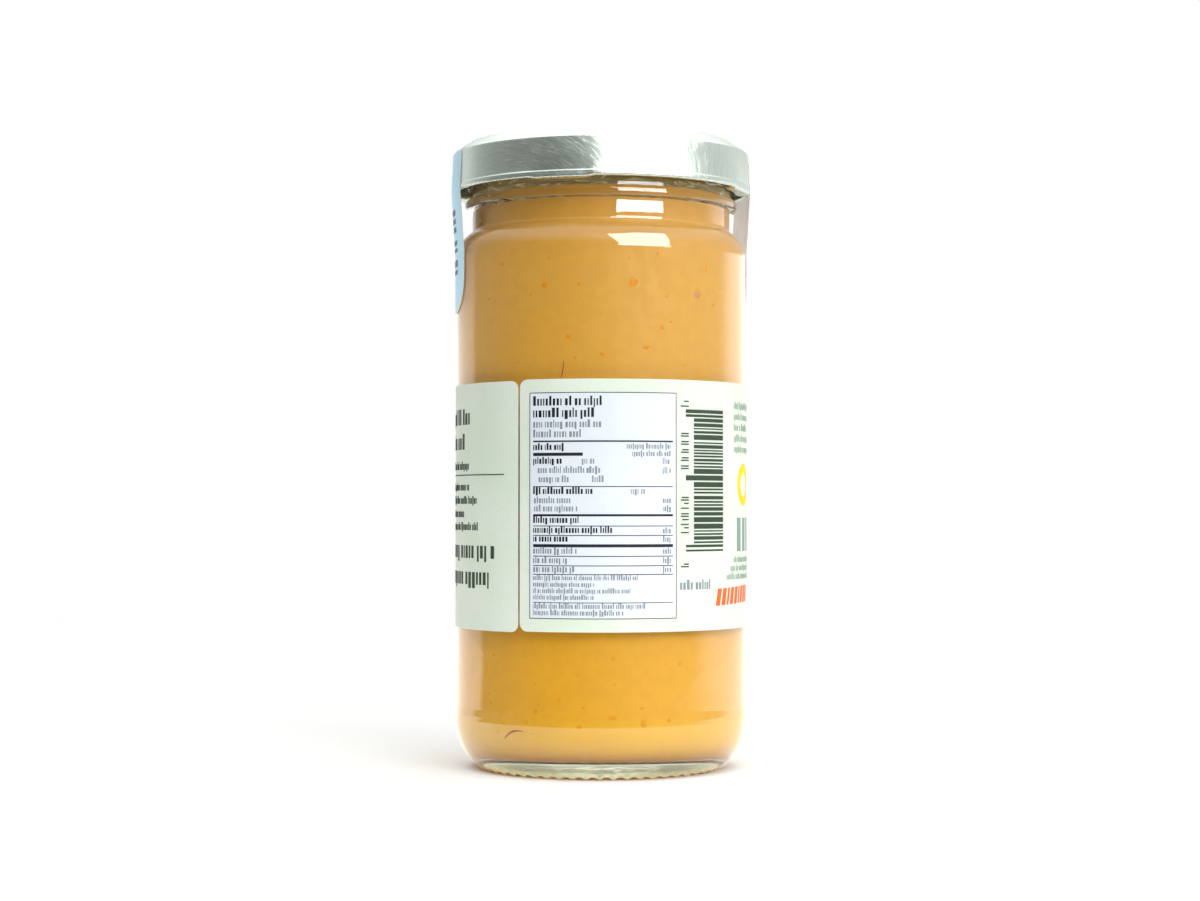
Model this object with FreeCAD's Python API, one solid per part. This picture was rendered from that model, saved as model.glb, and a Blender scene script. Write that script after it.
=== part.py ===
import FreeCAD, Part
import math
import os

# A tall straight-sided glass jar of apple cream, shut by a silver lug lid, with one paper label wrapped
# round the body and a paper seal strip laid over the lid and down both sides.
# Millimetres. Origin at the centre of the foot, +Z up, the front of the jar towards -Y.
# An angle is counted round the jar from the front, positive to the right of someone who faces it.

# Glass body
body_radius = 30.0
jar_height = 128.35
wall = 2.4
floor_height = 4.1
floor_corner = 6.0
floor_rise = 0.5
floor_rise_radius = 14.0

# Heel and foot
heel_step = 0.2
heel_band_top = 11.5
heel_corner_height = 4.2
heel_curve = 11.8
foot_inset = 4.8
foot_width = 2.8
foot_edge = 0.8
push_up = 1.4
foot_notch_pitch = 2.7
foot_notch_width = 1.1
foot_notch_depth = 0.35
foot_notch_stop = 0.8

# Shoulder, neck, transfer bead and rim; the drops are counted down from the rim
shoulder_step = 3.25
shoulder_drop = 20.35
shoulder_slope = 53.5
shoulder_curve = 5.9
neck_fillet = 1.95
bead_step = 1.55
bead_top_drop = 11.45
bead_height = 2.3
bead_slant = 0.25
bead_edge = 0.6
finish_step = 0.45
rim_edge = 0.9

# Thread ridges under the lid
thread_count = 4
thread_step = 1.45
thread_crest = 0.9
thread_foot = 2.2
thread_drop = 7.95
thread_slope = 3.5
thread_span = 50.0
first_thread_angle = -15.3

# Contents
fill_drop = 11.35
fill_clearance = 0.05
fill_sag = 0.5
fill_meniscus = 1.5

# Lid
lid_sheet = 0.25
lid_height = 10.4
seat_gap = 0.1
skirt_clearance = 1.7
skirt_flare = 0.25
shoulder_fall = 2.3
lid_ring_inset = 0.1
lid_ring_edge = 0.9
skirt_edge = 0.7
panel_drop = 1.1
panel_slant = 0.9
button_radius = 11.0
button_rise = 0.35
curl_radius = 0.5
lug_width = 10.0
lug_reach = 0.75
lug_height = 1.1
lug_clearance = 0.3

# Label
label_bottom = 29.15
label_height = 49.45
label_thickness = 0.12
label_gap = 0.02
label_seam_gap = 0.4
label_seam_angle = -32.4
label_corner = 1.7

# Seal strip
strip_width = 13.6
strip_thickness = 0.12
strip_gap = 0.03
strip_turn = 10.0
strip_tail = 11.7
strip_bend = 1.2
strip_pinch_drop = 22.6

# Sizes that follow from those above
heel_radius = body_radius + heel_step
foot_radius = body_radius - foot_inset
neck_radius = body_radius - shoulder_step
bead_radius = neck_radius + bead_step
finish_radius = neck_radius + finish_step
thread_radius = finish_radius + thread_step
mouth_radius = neck_radius - wall
shoulder_height = jar_height - shoulder_drop
neck_start = shoulder_height + shoulder_step / math.tan(math.radians(shoulder_slope))
bead_top = jar_height - bead_top_drop
bead_bottom = bead_top - bead_height
fill_height = jar_height - fill_drop
lid_top = jar_height + seat_gap + lid_sheet
lid_bottom = lid_top - lid_height
skirt_top_radius = thread_radius + skirt_clearance + lid_sheet
skirt_bottom_radius = skirt_top_radius + skirt_flare
curl_height = lid_bottom + curl_radius
curl_outer = skirt_bottom_radius + lid_sheet / 2
label_radius = body_radius + label_gap
label_top = label_bottom + label_height

origin = FreeCAD.Vector(0, 0, 0)
up = FreeCAD.Vector(0, 0, 1)


def limited(reach, lengths):
    """How far each fillet may reach along its two sides, so that neighbours share a short side fairly."""
    shares = []
    for i in range(len(reach)):
        after = lengths[i] / max(reach[i] + reach[(i + 1) % len(reach)], 1e-9)
        before = lengths[i - 1] / max(reach[i] + reach[i - 1], 1e-9)
        shares.append(min(1.0, before, after))
    return [r * share for r, share in zip(reach, shares)]


def outline(corners):
    """A closed wire in the XZ plane through (radius, height, fillet) corners, each fillet a tangent arc."""
    count = len(corners)
    points = [FreeCAD.Vector(r, 0, z) for r, z, _ in corners]
    ahead = [(points[(i + 1) % count] - points[i]).normalize() for i in range(count)]
    lengths = [points[i].distanceToPoint(points[(i + 1) % count]) for i in range(count)]
    halves = [(ahead[i - 1] * -1).getAngle(ahead[i]) / 2 for i in range(count)]
    reach = [corners[i][2] / math.tan(halves[i]) for i in range(count)]
    reach = limited(reach, lengths)
    starts = [points[i] - ahead[i - 1] * reach[i] for i in range(count)]
    ends = [points[i] + ahead[i] * reach[i] for i in range(count)]
    edges = []
    for i in range(count):
        if reach[i] > 1e-6:
            inward = (ahead[i] - ahead[i - 1]).normalize()
            to_arc = reach[i] / math.cos(halves[i]) - reach[i] * math.tan(halves[i])
            edges.append(Part.Arc(starts[i], points[i] + inward * to_arc, ends[i]).toShape())
        if ends[i].distanceToPoint(starts[(i + 1) % count]) > 1e-6:
            edges.append(Part.LineSegment(ends[i], starts[(i + 1) % count]).toShape())
    return Part.Wire(edges)


def beside(corners, distance):
    """An open run of corners moved by distance to the right of its direction of travel, fillets to suit."""
    points = [FreeCAD.Vector(r, 0, z) for r, z, _ in corners]
    ways = [(b - a).normalize() for a, b in zip(points, points[1:])]
    rights = [FreeCAD.Vector(way.z, 0, -way.x) for way in ways]
    moved = []
    for i, (_, _, fillet) in enumerate(corners):
        first = rights[max(i - 1, 0)]
        second = rights[min(i, len(rights) - 1)]
        shift = (first + second) * (distance / (1 + first.dot(second)))
        turn = math.copysign(1, first.dot(ways[min(i, len(ways) - 1)]))
        point = points[i] + shift
        moved.append((point.x, point.z, max(fillet - turn * distance, 0)))
    return moved


def turned(corners, span=360.0):
    """The solid that an outline sweeps round the jar's axis, centred on the +X direction if not a full turn."""
    solid = Part.Face(outline(corners)).revolve(origin, up, span)
    if span < 360:
        solid.rotate(origin, up, -span / 2)
    return solid


def placed(shape, angle):
    """A copy of a shape made about +X, carried round the jar to an angle from the front."""
    copy = shape.copy()
    copy.rotate(origin, up, angle - 90)
    return copy


def sheet(corners, thickness):
    """The thin solid of revolution that lies between an open run of corners and its parallel on the right."""
    return turned(corners + beside(corners, thickness)[::-1])


def inner_shoulder():
    """The two corners of the inside wall that run parallel to the outside shoulder."""
    outside = [
        (body_radius, 0, 0),
        (body_radius, shoulder_height, shoulder_curve),
        (neck_radius, neck_start, neck_fillet),
        (neck_radius, jar_height, 0),
    ]
    return beside(outside, -wall)[1:3]


def floor():
    """The inside floor, raised a little in the middle, from the wall to the axis."""
    top = floor_height + floor_rise
    return [
        (body_radius - wall, floor_height, floor_corner),
        (floor_rise_radius, floor_height, floor_rise_radius),
        (floor_rise_radius / 2, top, floor_rise_radius / 2),
        (0, top, 0),
    ]


def foot_notches():
    """Short radial notches that leave a ring of small teeth for the jar to stand on."""
    count = round(2 * math.pi * foot_radius / foot_notch_pitch)
    start = foot_radius - foot_width + foot_notch_stop
    length = foot_inset + foot_width
    notch = Part.makeBox(
        length,
        foot_notch_width,
        2 * foot_notch_depth,
        FreeCAD.Vector(start, -foot_notch_width / 2, -foot_notch_depth),
    )
    return [placed(notch, 360 * (i + 0.5) / count) for i in range(count)]


def thread_ridge():
    """One sloping ridge of the lug finish, rising counter-clockwise seen from above."""
    middle = jar_height - thread_drop
    depth = wall / 2
    flank = (thread_foot - thread_crest) / 2 / thread_step
    root = finish_radius - depth
    root_half = thread_foot / 2 + flank * depth
    ridge = turned(
        [
            (root, middle - root_half, 0),
            (thread_radius, middle - thread_crest / 2, thread_crest / 3),
            (thread_radius, middle + thread_crest / 2, thread_crest / 3),
            (root, middle + root_half, 0),
        ],
        thread_span,
    )
    ridge.rotate(FreeCAD.Vector(0, 0, middle), FreeCAD.Vector(1, 0, 0), thread_slope)
    return ridge


def jar_glass():
    underside = [
        (0, push_up, 0),
        (foot_radius - foot_width - push_up, push_up, push_up),
        (foot_radius - foot_width, 0, foot_edge),
        (foot_radius, 0, foot_edge),
    ]
    outside = [
        (heel_radius, heel_corner_height, heel_curve),
        (heel_radius, heel_band_top, heel_band_top / 2),
        (body_radius, heel_band_top + heel_step * 8, heel_band_top / 2),
        (body_radius, shoulder_height, shoulder_curve),
        (neck_radius, neck_start, neck_fillet),
        (neck_radius, bead_bottom, bead_slant),
        (bead_radius, bead_bottom + bead_slant, bead_edge),
        (bead_radius, bead_top - bead_slant, bead_edge),
        (finish_radius, bead_top, bead_slant),
        (finish_radius, jar_height, rim_edge),
    ]
    inside = [
        (mouth_radius, jar_height, rim_edge),
        *inner_shoulder()[::-1],
        *floor(),
    ]
    glass = turned(underside + outside + inside)
    ridge = thread_ridge()
    step = 360 / thread_count
    ridges = [placed(ridge, first_thread_angle + i * step) for i in range(thread_count)]
    return glass.fuse(ridges).cut(foot_notches())


def apple_cream():
    glass = floor()[::-1] + inner_shoulder() + [(mouth_radius, fill_height, 0)]
    edge = beside(glass, -fill_clearance)
    surface = [
        (mouth_radius - fill_meniscus, fill_height - fill_sag, fill_meniscus),
        (0, fill_height - fill_sag, 0),
    ]
    return turned(edge + surface)


def lug():
    """One tab turned in from the curl, which hooks under a thread ridge and rises to the curl at its root."""
    inner = thread_radius - lug_reach
    outer = skirt_bottom_radius - lid_sheet / 2
    top = jar_height - thread_drop - thread_foot / 2 - lug_clearance
    root = max(top, curl_height)
    edge = lug_height / 3
    return turned(
        [
            (inner, top - lug_height, edge),
            (outer, top - lug_height, edge),
            (outer, root, 0),
            (inner, top, edge),
        ],
        math.degrees(lug_width / skirt_bottom_radius),
    )


def lid_outside():
    """The lid's outer surface from its middle, over the button, panel, ring and skirt, to the curl."""
    panel_height = lid_top - panel_drop
    return [
        (0, panel_height + button_rise, 0),
        (button_radius - button_rise, panel_height + button_rise, button_rise),
        (button_radius, panel_height, button_rise),
        (mouth_radius - panel_slant, panel_height, lid_ring_edge / 2),
        (mouth_radius, lid_top, lid_ring_edge),
        (finish_radius - lid_ring_inset, lid_top, lid_ring_edge),
        (skirt_top_radius, lid_top - shoulder_fall, skirt_edge),
        (skirt_bottom_radius, curl_height, 0),
    ]


def lid():
    shell = sheet(lid_outside(), lid_sheet)
    curl_centre = FreeCAD.Vector(0, 0, curl_height)
    curl = Part.makeTorus(curl_outer - curl_radius, curl_radius, curl_centre)
    hook = lug()
    step = 360 / thread_count
    hooks = [placed(hook, first_thread_angle + i * step) for i in range(thread_count)]
    return shell.fuse([curl] + hooks)


def label():
    """A paper band whose two rounded ends nearly meet at the seam."""
    outer = label_radius + label_thickness
    band = turned(
        [
            (label_radius, label_bottom, 0),
            (outer, label_bottom, 0),
            (outer, label_top, 0),
            (label_radius, label_top, 0),
        ]
    )
    half = label_seam_gap / 2
    far = half + 3 * label_corner
    margin = label_corner
    window = outline(
        [
            (-half - label_corner, label_bottom - margin, 0),
            (half + label_corner, label_bottom - margin, 0),
            (half + label_corner, label_top + margin, 0),
            (-half - label_corner, label_top + margin, 0),
        ]
    )
    cutter = Part.Face(window)
    for side in (-1, 1):
        end = outline(
            [
                (side * half, label_bottom, label_corner),
                (side * far, label_bottom, 0),
                (side * far, label_top, 0),
                (side * half, label_top, label_corner),
            ]
        )
        cutter = cutter.cut(Part.Face(end))
    prism = cutter.extrude(FreeCAD.Vector(0, -2 * body_radius, 0))
    prism.rotate(origin, up, label_seam_angle)
    return band.cut(prism)


def seal_strip():
    """A strip of even width over the lid and down both sides, stuck to the glass below the shoulder."""
    leg_radius = label_radius + label_thickness + strip_gap
    top = lid_top + strip_gap
    tail_end = shoulder_height - shoulder_curve / 2 - strip_tail
    over_lid = beside(lid_outside(), -strip_gap)[-3:-1]
    path = [
        (0, top, 0),
        *over_lid,
        (curl_outer + strip_gap, curl_height, strip_bend),
        (leg_radius, jar_height - strip_pinch_drop, shoulder_curve),
        (leg_radius, tail_end - strip_width, 0),
    ]
    cover = turned(path + beside(path, -strip_thickness)[::-1])
    half = strip_width / 2
    high = top + strip_width
    left_top = FreeCAD.Vector(0, -half, high)
    left_low = FreeCAD.Vector(0, -half, tail_end + half)
    tip = FreeCAD.Vector(0, 0, tail_end)
    right_low = FreeCAD.Vector(0, half, tail_end + half)
    right_top = FreeCAD.Vector(0, half, high)
    tongue = Part.Wire(
        [
            Part.LineSegment(left_top, left_low).toShape(),
            Part.Arc(left_low, tip, right_low).toShape(),
            Part.LineSegment(right_low, right_top).toShape(),
            Part.LineSegment(right_top, left_top).toShape(),
        ]
    )
    tongue.translate(FreeCAD.Vector(-2 * body_radius, 0, 0))
    cutter = Part.Face(tongue).extrude(FreeCAD.Vector(4 * body_radius, 0, 0))
    strip = cover.common(cutter)
    strip.rotate(origin, up, strip_turn)
    return strip


def single(shape):
    """The one solid that a boolean operation leaves in its compound."""
    shape = shape.removeSplitter()
    assert len(shape.Solids) == 1 and shape.isValid()
    return shape.Solids[0]


nodes = {
    "jar_glass": jar_glass,
    "apple_cream": apple_cream,
    "lid": lid,
    "label": label,
    "seal_strip": seal_strip,
}

os.makedirs("parts", exist_ok=True)
for name, build in nodes.items():
    solid = single(build())
    solid.exportStep(f"parts/{name}.step")
    print(name, "volume", round(solid.Volume, 1), "faces", len(solid.Faces))
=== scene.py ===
"""Looks of a tall glass jar of apple cream with a silver lug lid, a paper label and a paper seal strip.

Pieces are modelled in millimetres in the jar's own frame, with the origin at the centre of the foot, Z up
and the front of the jar towards -Y, and each finished mesh is scaled to metres. A bearing is an angle counted
round the jar from the front, positive to the right of someone who faces it. Flat work, such as paper and
print, is laid out with X as the distance round the jar, Z as the height and -Y as the depth, and is then
wrapped.
"""

import math
import random

import bmesh
import bpy
from mathutils import Matrix, Vector, noise


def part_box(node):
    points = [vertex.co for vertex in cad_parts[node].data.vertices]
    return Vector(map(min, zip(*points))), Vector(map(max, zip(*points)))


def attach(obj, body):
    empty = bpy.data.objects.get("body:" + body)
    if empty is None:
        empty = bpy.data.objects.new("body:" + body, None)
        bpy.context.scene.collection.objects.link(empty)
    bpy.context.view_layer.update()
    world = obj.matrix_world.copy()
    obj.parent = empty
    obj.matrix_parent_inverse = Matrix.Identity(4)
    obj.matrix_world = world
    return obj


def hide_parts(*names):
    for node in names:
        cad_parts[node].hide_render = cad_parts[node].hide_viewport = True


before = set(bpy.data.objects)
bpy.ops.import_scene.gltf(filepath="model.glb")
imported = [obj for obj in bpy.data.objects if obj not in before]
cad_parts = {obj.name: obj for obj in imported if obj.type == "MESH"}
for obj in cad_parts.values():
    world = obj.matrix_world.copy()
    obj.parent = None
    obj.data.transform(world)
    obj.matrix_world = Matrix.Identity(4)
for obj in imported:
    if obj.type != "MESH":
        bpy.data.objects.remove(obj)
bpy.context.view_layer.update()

bl_info = {
    "name": "Apple Cream Jar",
    "version": (1, 0, 0),
    "blender": (4, 5, 0),
    "location": "View3D > Sidebar > Cream Jar",
    "description": "Builds a clear jar of apple cream with its lid, label, print and seal strip",
    "category": "Add Mesh",
}

MM = 0.001
FULL_TURN = 2 * math.pi


def box_mm(node):
    """The lowest and highest corners of a node of the frame, in millimetres."""
    low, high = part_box(node)
    return Vector(low) / MM, Vector(high) / MM


def srgb(red, green, blue):
    """A linear colour from the 0 to 255 values that a screen shows."""
    values = [c / 255 for c in (red, green, blue)]
    return [c / 12.92 if c <= 0.04045 else ((c + 0.055) / 1.055) ** 2.4 for c in values] + [1.0]


# Places that come from the frame
_, glass_high = box_mm("jar_glass")
_, cream_high = box_mm("apple_cream")
lid_low, lid_high = box_mm("lid")
label_low, label_high = box_mm("label")
strip_low, _ = box_mm("seal_strip")

# Glass
wall = 2.4
floor_height = 4.1
floor_corner = 6.0
floor_rise = 0.5
floor_rise_radius = 14.0
heel_step = 0.2
heel_band_top = 11.5
heel_corner_height = 4.2
heel_curve = 11.8
foot_inset = 4.8
foot_width = 2.8
foot_edge = 0.8
push_up = 1.4
foot_notch_count = 59
foot_notch_depth = 0.35
foot_notch_stop = 0.8
shoulder_step = 3.25
shoulder_drop = 20.35
shoulder_slope = 53.5
shoulder_curve = 5.9
neck_fillet = 0.7
bead_step = 1.55
bead_top_drop = 11.45
bead_height = 2.3
bead_slant = 0.25
bead_edge = 0.6
finish_step = 0.45
rim_edge = 0.9
thread_count = 4
thread_step = 1.45
thread_crest = 0.9
thread_foot = 2.2
thread_drop = 7.95
thread_slope = math.radians(3.5)
thread_span = math.radians(50)
first_thread_bearing = math.radians(-15.3)
mould_seam_bearing = math.radians(-38.5)
mould_seam_height = 0.05

# Lid
lid_sheet = 0.25
seat_gap = 0.1
skirt_clearance = 1.7
skirt_flare = 0.25
shoulder_fall = 2.3
lid_ring_inset = 0.1
lid_ring_edge = 0.9
skirt_edge = 0.7
panel_drop = 1.1
panel_slant = 0.9
button_radius = 11.0
button_rise = 0.35
curl_radius = 0.5
curl_drop = 9.9
lug_width = 10.0
lug_reach = 0.75
lug_height = 1.1

# Paper
label_thickness = 0.12
label_seam_gap = 0.4
label_seam_bearing = math.radians(-32.4)
label_corner = 1.7
label_skew = 0.2
strip_width = 13.6
strip_thickness = 0.12
strip_gap = 0.03
strip_turn = math.radians(10)
strip_bend = 1.2
strip_pinch_drop = 22.6

# Print
ink_height = 0.05
field_height = 0.03
panel_left = -14.5
panel_right = 15.4
panel_bottom = 31.8
panel_top = 75.9
panel_edge = 0.75

# Radii and heights that follow
jar_height = glass_high.z
heel_radius = glass_high.x
body_radius = heel_radius - heel_step
foot_radius = body_radius - foot_inset
neck_radius = body_radius - shoulder_step
bead_radius = neck_radius + bead_step
finish_radius = neck_radius + finish_step
thread_radius = finish_radius + thread_step
mouth_radius = neck_radius - wall
shoulder_height = jar_height - shoulder_drop
neck_start = shoulder_height + shoulder_step / math.tan(math.radians(shoulder_slope))
bead_top = jar_height - bead_top_drop
bead_bottom = bead_top - bead_height
thread_middle = jar_height - thread_drop
fill_height = cream_high.z
lid_top = lid_high.z
skirt_top_radius = thread_radius + skirt_clearance + lid_sheet
skirt_bottom_radius = skirt_top_radius + skirt_flare
curl_height = lid_top - curl_drop
curl_outer = lid_high.x
label_outer = label_high.x
label_inner = label_outer - label_thickness
label_bottom = label_low.z
label_top = label_high.z

# How finely things are made
ARC_STEP = math.radians(7)
LONG_RUN = 3.0
GLASS_STEPS = foot_notch_count * 6
ROUND_STEPS = 360
MERGE = 1e-4


# ---------------------------------------------------------------------------------------------------------
# Shapes


def fillet_reach(points, fillets, closed):
    """How far each fillet reaches along its two sides, so that neighbours share a short side fairly."""
    count = len(points)
    lengths = [(points[(i + 1) % count] - points[i]).length for i in range(count)]
    reach = []
    for i in range(count):
        end = not closed and i in (0, count - 1)
        turn = 0 if end else (points[i] - points[i - 1]).angle(points[(i + 1) % count] - points[i])
        reach.append(fillets[i] * math.tan(turn / 2))
    shares = []
    for i in range(count):
        after = lengths[i] / max(reach[i] + reach[(i + 1) % count], MERGE)
        before = lengths[i - 1] / max(reach[i] + reach[i - 1], MERGE)
        shares.append(min(1.0, after, before))
    return [length * share for length, share in zip(reach, shares)]


def of_kind(items, kind):
    """The vertices, edges or faces among what a bmesh operator returns."""
    return [item for item in items if isinstance(item, kind)]


def round_off(bm, verts, reach, segments):
    """Turns corners into arcs that reach that far along both sides."""
    bmesh.ops.bevel(
        bm,
        geom=verts,
        offset=reach,
        offset_type="OFFSET",
        segments=segments,
        profile=0.5,
        affect="VERTICES",
        material=-1,
        clamp_overlap=False,
    )


def thicken(bm, faces, depth):
    """Raises flat faces of the layout off its plane into a closed sheet."""
    grown = bmesh.ops.extrude_face_region(bm, geom=faces)["geom"]
    bmesh.ops.translate(bm, vec=(0, -depth, 0), verts=of_kind(grown, bmesh.types.BMVert))


def rounded_wire(bm, corners, closed=False):
    """A wire in the XZ plane through (radius, height, fillet) corners, with each fillet a tangent arc."""
    points = [Vector((r, 0, z)) for r, z, _ in corners]
    count = len(points)
    verts = [bm.verts.new(point) for point in points]
    for i in range(count if closed else count - 1):
        bm.edges.new((verts[i], verts[(i + 1) % count]))
    reach = fillet_reach(points, [fillet for _, _, fillet in corners], closed)
    for i in range(count):
        if reach[i] > MERGE:
            turn = (points[i] - points[i - 1]).angle(points[(i + 1) % count] - points[i])
            round_off(bm, [verts[i]], reach[i], max(2, round(turn / ARC_STEP)))
    bmesh.ops.remove_doubles(bm, verts=bm.verts, dist=MERGE)


def split_long(bm, longest):
    """Cuts every edge that is longer than that into equal lengths."""
    by_cuts = {}
    for edge in bm.edges:
        cuts = math.ceil(edge.calc_length() / longest - MERGE) - 1
        if cuts > 0:
            by_cuts.setdefault(cuts, []).append(edge)
    for cuts, edges in by_cuts.items():
        bmesh.ops.subdivide_edges(bm, edges=edges, cuts=cuts, use_grid_fill=True)


def beside(corners, distance):
    """An open run of corners moved by distance to the right of its direction of travel, fillets to suit."""
    points = [Vector((r, z)) for r, z, _ in corners]
    ways = [(b - a).normalized() for a, b in zip(points, points[1:])]
    rights = [Vector((way.y, -way.x)) for way in ways]
    moved = []
    for i, (_, _, fillet) in enumerate(corners):
        first = rights[max(i - 1, 0)]
        second = rights[min(i, len(rights) - 1)]
        point = points[i] + (first + second) * (distance / (1 + first.dot(second)))
        turn = math.copysign(1, first.dot(ways[min(i, len(ways) - 1)]))
        moved.append((point.x, point.y, max(fillet - turn * distance, 0)))
    return moved


def spun(corners, steps, closed=False):
    """The closed shell that a run of corners sweeps in a full turn round the jar's axis."""
    bm = bmesh.new()
    rounded_wire(bm, corners, closed)
    split_long(bm, LONG_RUN)
    bmesh.ops.spin(
        bm,
        geom=bm.verts[:] + bm.edges[:],
        cent=(0, 0, 0),
        axis=(0, 0, 1),
        dvec=(0, 0, 0),
        angle=FULL_TURN,
        steps=steps,
        use_merge=True,
        use_duplicate=False,
    )
    bmesh.ops.remove_doubles(bm, verts=bm.verts, dist=MERGE)
    bmesh.ops.recalc_face_normals(bm, faces=bm.faces)
    return bm


def bearing(point):
    """The angle of a point round the jar from the front, positive to the right."""
    return math.atan2(point.x, -point.y)


def off_bearing(point, middle):
    """The angle from a bearing to a point, between minus and plus half a turn."""
    return math.remainder(bearing(point) - middle, FULL_TURN)


def push(vert, distance):
    """Moves a vertex straight away from the jar's axis."""
    away = Vector((vert.co.x, vert.co.y, 0)).normalized()
    vert.co += away * distance


def fade(value, low, high):
    """0 up to low, 1 from high, and a smooth step between them."""
    share = min(max((value - low) / (high - low), 0), 1)
    return share * share * (3 - 2 * share)


def slab(bm, left, right, bottom, top, outer, depth):
    """A closed flat box of the layout, its outer face that far in front of the layout's plane."""
    middle = Vector(((left + right) / 2, depth / 2 - outer, (bottom + top) / 2))
    size = Matrix.Diagonal((right - left, depth, top - bottom, 1))
    return bmesh.ops.create_cube(bm, size=1, matrix=Matrix.Translation(middle) @ size)["verts"]


def creased(bm, step):
    """Cuts the flat layout from bottom to top at every step, so that it can be wrapped."""
    left = min(vert.co.x for vert in bm.verts)
    right = max(vert.co.x for vert in bm.verts)
    for i in range(1, math.ceil((right - left) / step)):
        whole = bm.verts[:] + bm.edges[:] + bm.faces[:]
        cut = (left + i * step, 0, 0)
        bmesh.ops.bisect_plane(bm, geom=whole, dist=MERGE, plane_co=cut, plane_no=(1, 0, 0))


def wrapped(bm, radius):
    """Bends the flat layout round the jar, so that its plane lies at that radius."""
    for vert in bm.verts:
        angle = vert.co.x / radius
        reach = radius - vert.co.y
        vert.co = Vector((reach * math.sin(angle), -reach * math.cos(angle), vert.co.z))


def finished(name, bm, materials, replaces=(), sharp=math.radians(40)):
    """Turns a mesh in millimetres into a piece of the jar in metres."""
    bmesh.ops.scale(bm, vec=(MM, MM, MM), verts=bm.verts)
    mesh = bpy.data.meshes.new(name)
    bm.to_mesh(mesh)
    bm.free()
    mesh.shade_smooth()
    mesh.set_sharp_from_angle(angle=sharp)
    for material in materials:
        mesh.materials.append(material)
    piece = bpy.data.objects.new(name, mesh)
    bpy.context.scene.collection.objects.link(piece)
    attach(piece, "root")
    if replaces:
        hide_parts(*replaces)
    return piece


# ---------------------------------------------------------------------------------------------------------
# Node helpers and shared effects


def add(tree, kind, inputs=None, **settings):
    """A node with its settings, its input values and the sockets that feed it."""
    node = tree.nodes.new(kind)
    for name, value in settings.items():
        setattr(node, name, value)
    for name, value in (inputs or {}).items():
        if isinstance(value, bpy.types.NodeSocket):
            tree.links.new(value, node.inputs[name])
        else:
            node.inputs[name].default_value = value
    return node


def maths(tree, operation, first, second=0.0):
    """One sum on two numbers or sockets."""
    return add(tree, "ShaderNodeMath", {0: first, 1: second}, operation=operation).outputs[0]


def blended(tree, factor, first, second, blend_type="MIX"):
    """One colour laid over another."""
    inputs = {0: factor, 6: first, 7: second}
    return add(tree, "ShaderNodeMix", inputs, data_type="RGBA", blend_type=blend_type).outputs[2]


def spread(tree, value, low, high, new_low=0.0, new_high=1.0):
    """A value's range low to high, smoothly brought to a new range."""
    inputs = {0: value, 1: low, 2: high, 3: new_low, 4: new_high}
    return add(tree, "ShaderNodeMapRange", inputs, interpolation_type="SMOOTHSTEP").outputs[0]


def height_of(tree, place):
    """The Z of a place."""
    return add(tree, "ShaderNodeSeparateXYZ", {0: place}).outputs["Z"]


def stretched(tree, place, factors):
    """A place with each of its three parts multiplied by its own factor."""
    return add(tree, "ShaderNodeVectorMath", {0: place, 1: factors}, operation="MULTIPLY").outputs[0]


def noise_on(tree, place, scale, **more):
    """Smooth noise over a place, from 0 to 1."""
    inputs = {"Vector": place, "Scale": scale, **more}
    return add(tree, "ShaderNodeTexNoise", inputs).outputs["Fac"]


def grey(tree, level):
    """A grey colour of that level."""
    return add(tree, "ShaderNodeCombineXYZ", {"X": level, "Y": level, "Z": level}).outputs[0]


def shaded(colour, share):
    """A colour brought down to a share of itself."""
    return [c * share for c in colour[:3]] + [1.0]


def principled(tree, surface, inputs):
    """The main surface shader, set and joined to where the surface goes."""
    shader = add(tree, "ShaderNodeBsdfPrincipled", inputs)
    tree.links.new(shader.outputs[0], surface)


def new_group(name, inputs, outputs):
    """An empty shader node group with named sockets, and its input and output nodes."""
    tree = bpy.data.node_groups.new(name, "ShaderNodeTree")
    for label, kind in inputs:
        tree.interface.new_socket(label, in_out="INPUT", socket_type=kind)
    for label, kind in outputs:
        tree.interface.new_socket(label, in_out="OUTPUT", socket_type=kind)
    return tree, tree.nodes.new("NodeGroupInput").outputs, tree.nodes.new("NodeGroupOutput").inputs


def mottle_group():
    """Soft uneven colour: two colours that run into each other in cloudy patches."""
    name = "soft mottle"
    if name in bpy.data.node_groups:
        return bpy.data.node_groups[name]
    inputs = [
        ("Vector", "NodeSocketVector"),
        ("Scale", "NodeSocketFloat"),
        ("Softness", "NodeSocketFloat"),
        ("First", "NodeSocketColor"),
        ("Second", "NodeSocketColor"),
    ]
    outputs = [("Colour", "NodeSocketColor"), ("Mask", "NodeSocketFloat")]
    tree, given, result = new_group(name, inputs, outputs)
    cloud = noise_on(tree, given["Vector"], given["Scale"], Detail=4.0)
    low = maths(tree, "SUBTRACT", 0.5, given["Softness"])
    high = maths(tree, "ADD", 0.5, given["Softness"])
    mask = spread(tree, cloud, low, high)
    tree.links.new(blended(tree, mask, given["First"], given["Second"]), result["Colour"])
    tree.links.new(mask, result["Mask"])
    return tree


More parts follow.
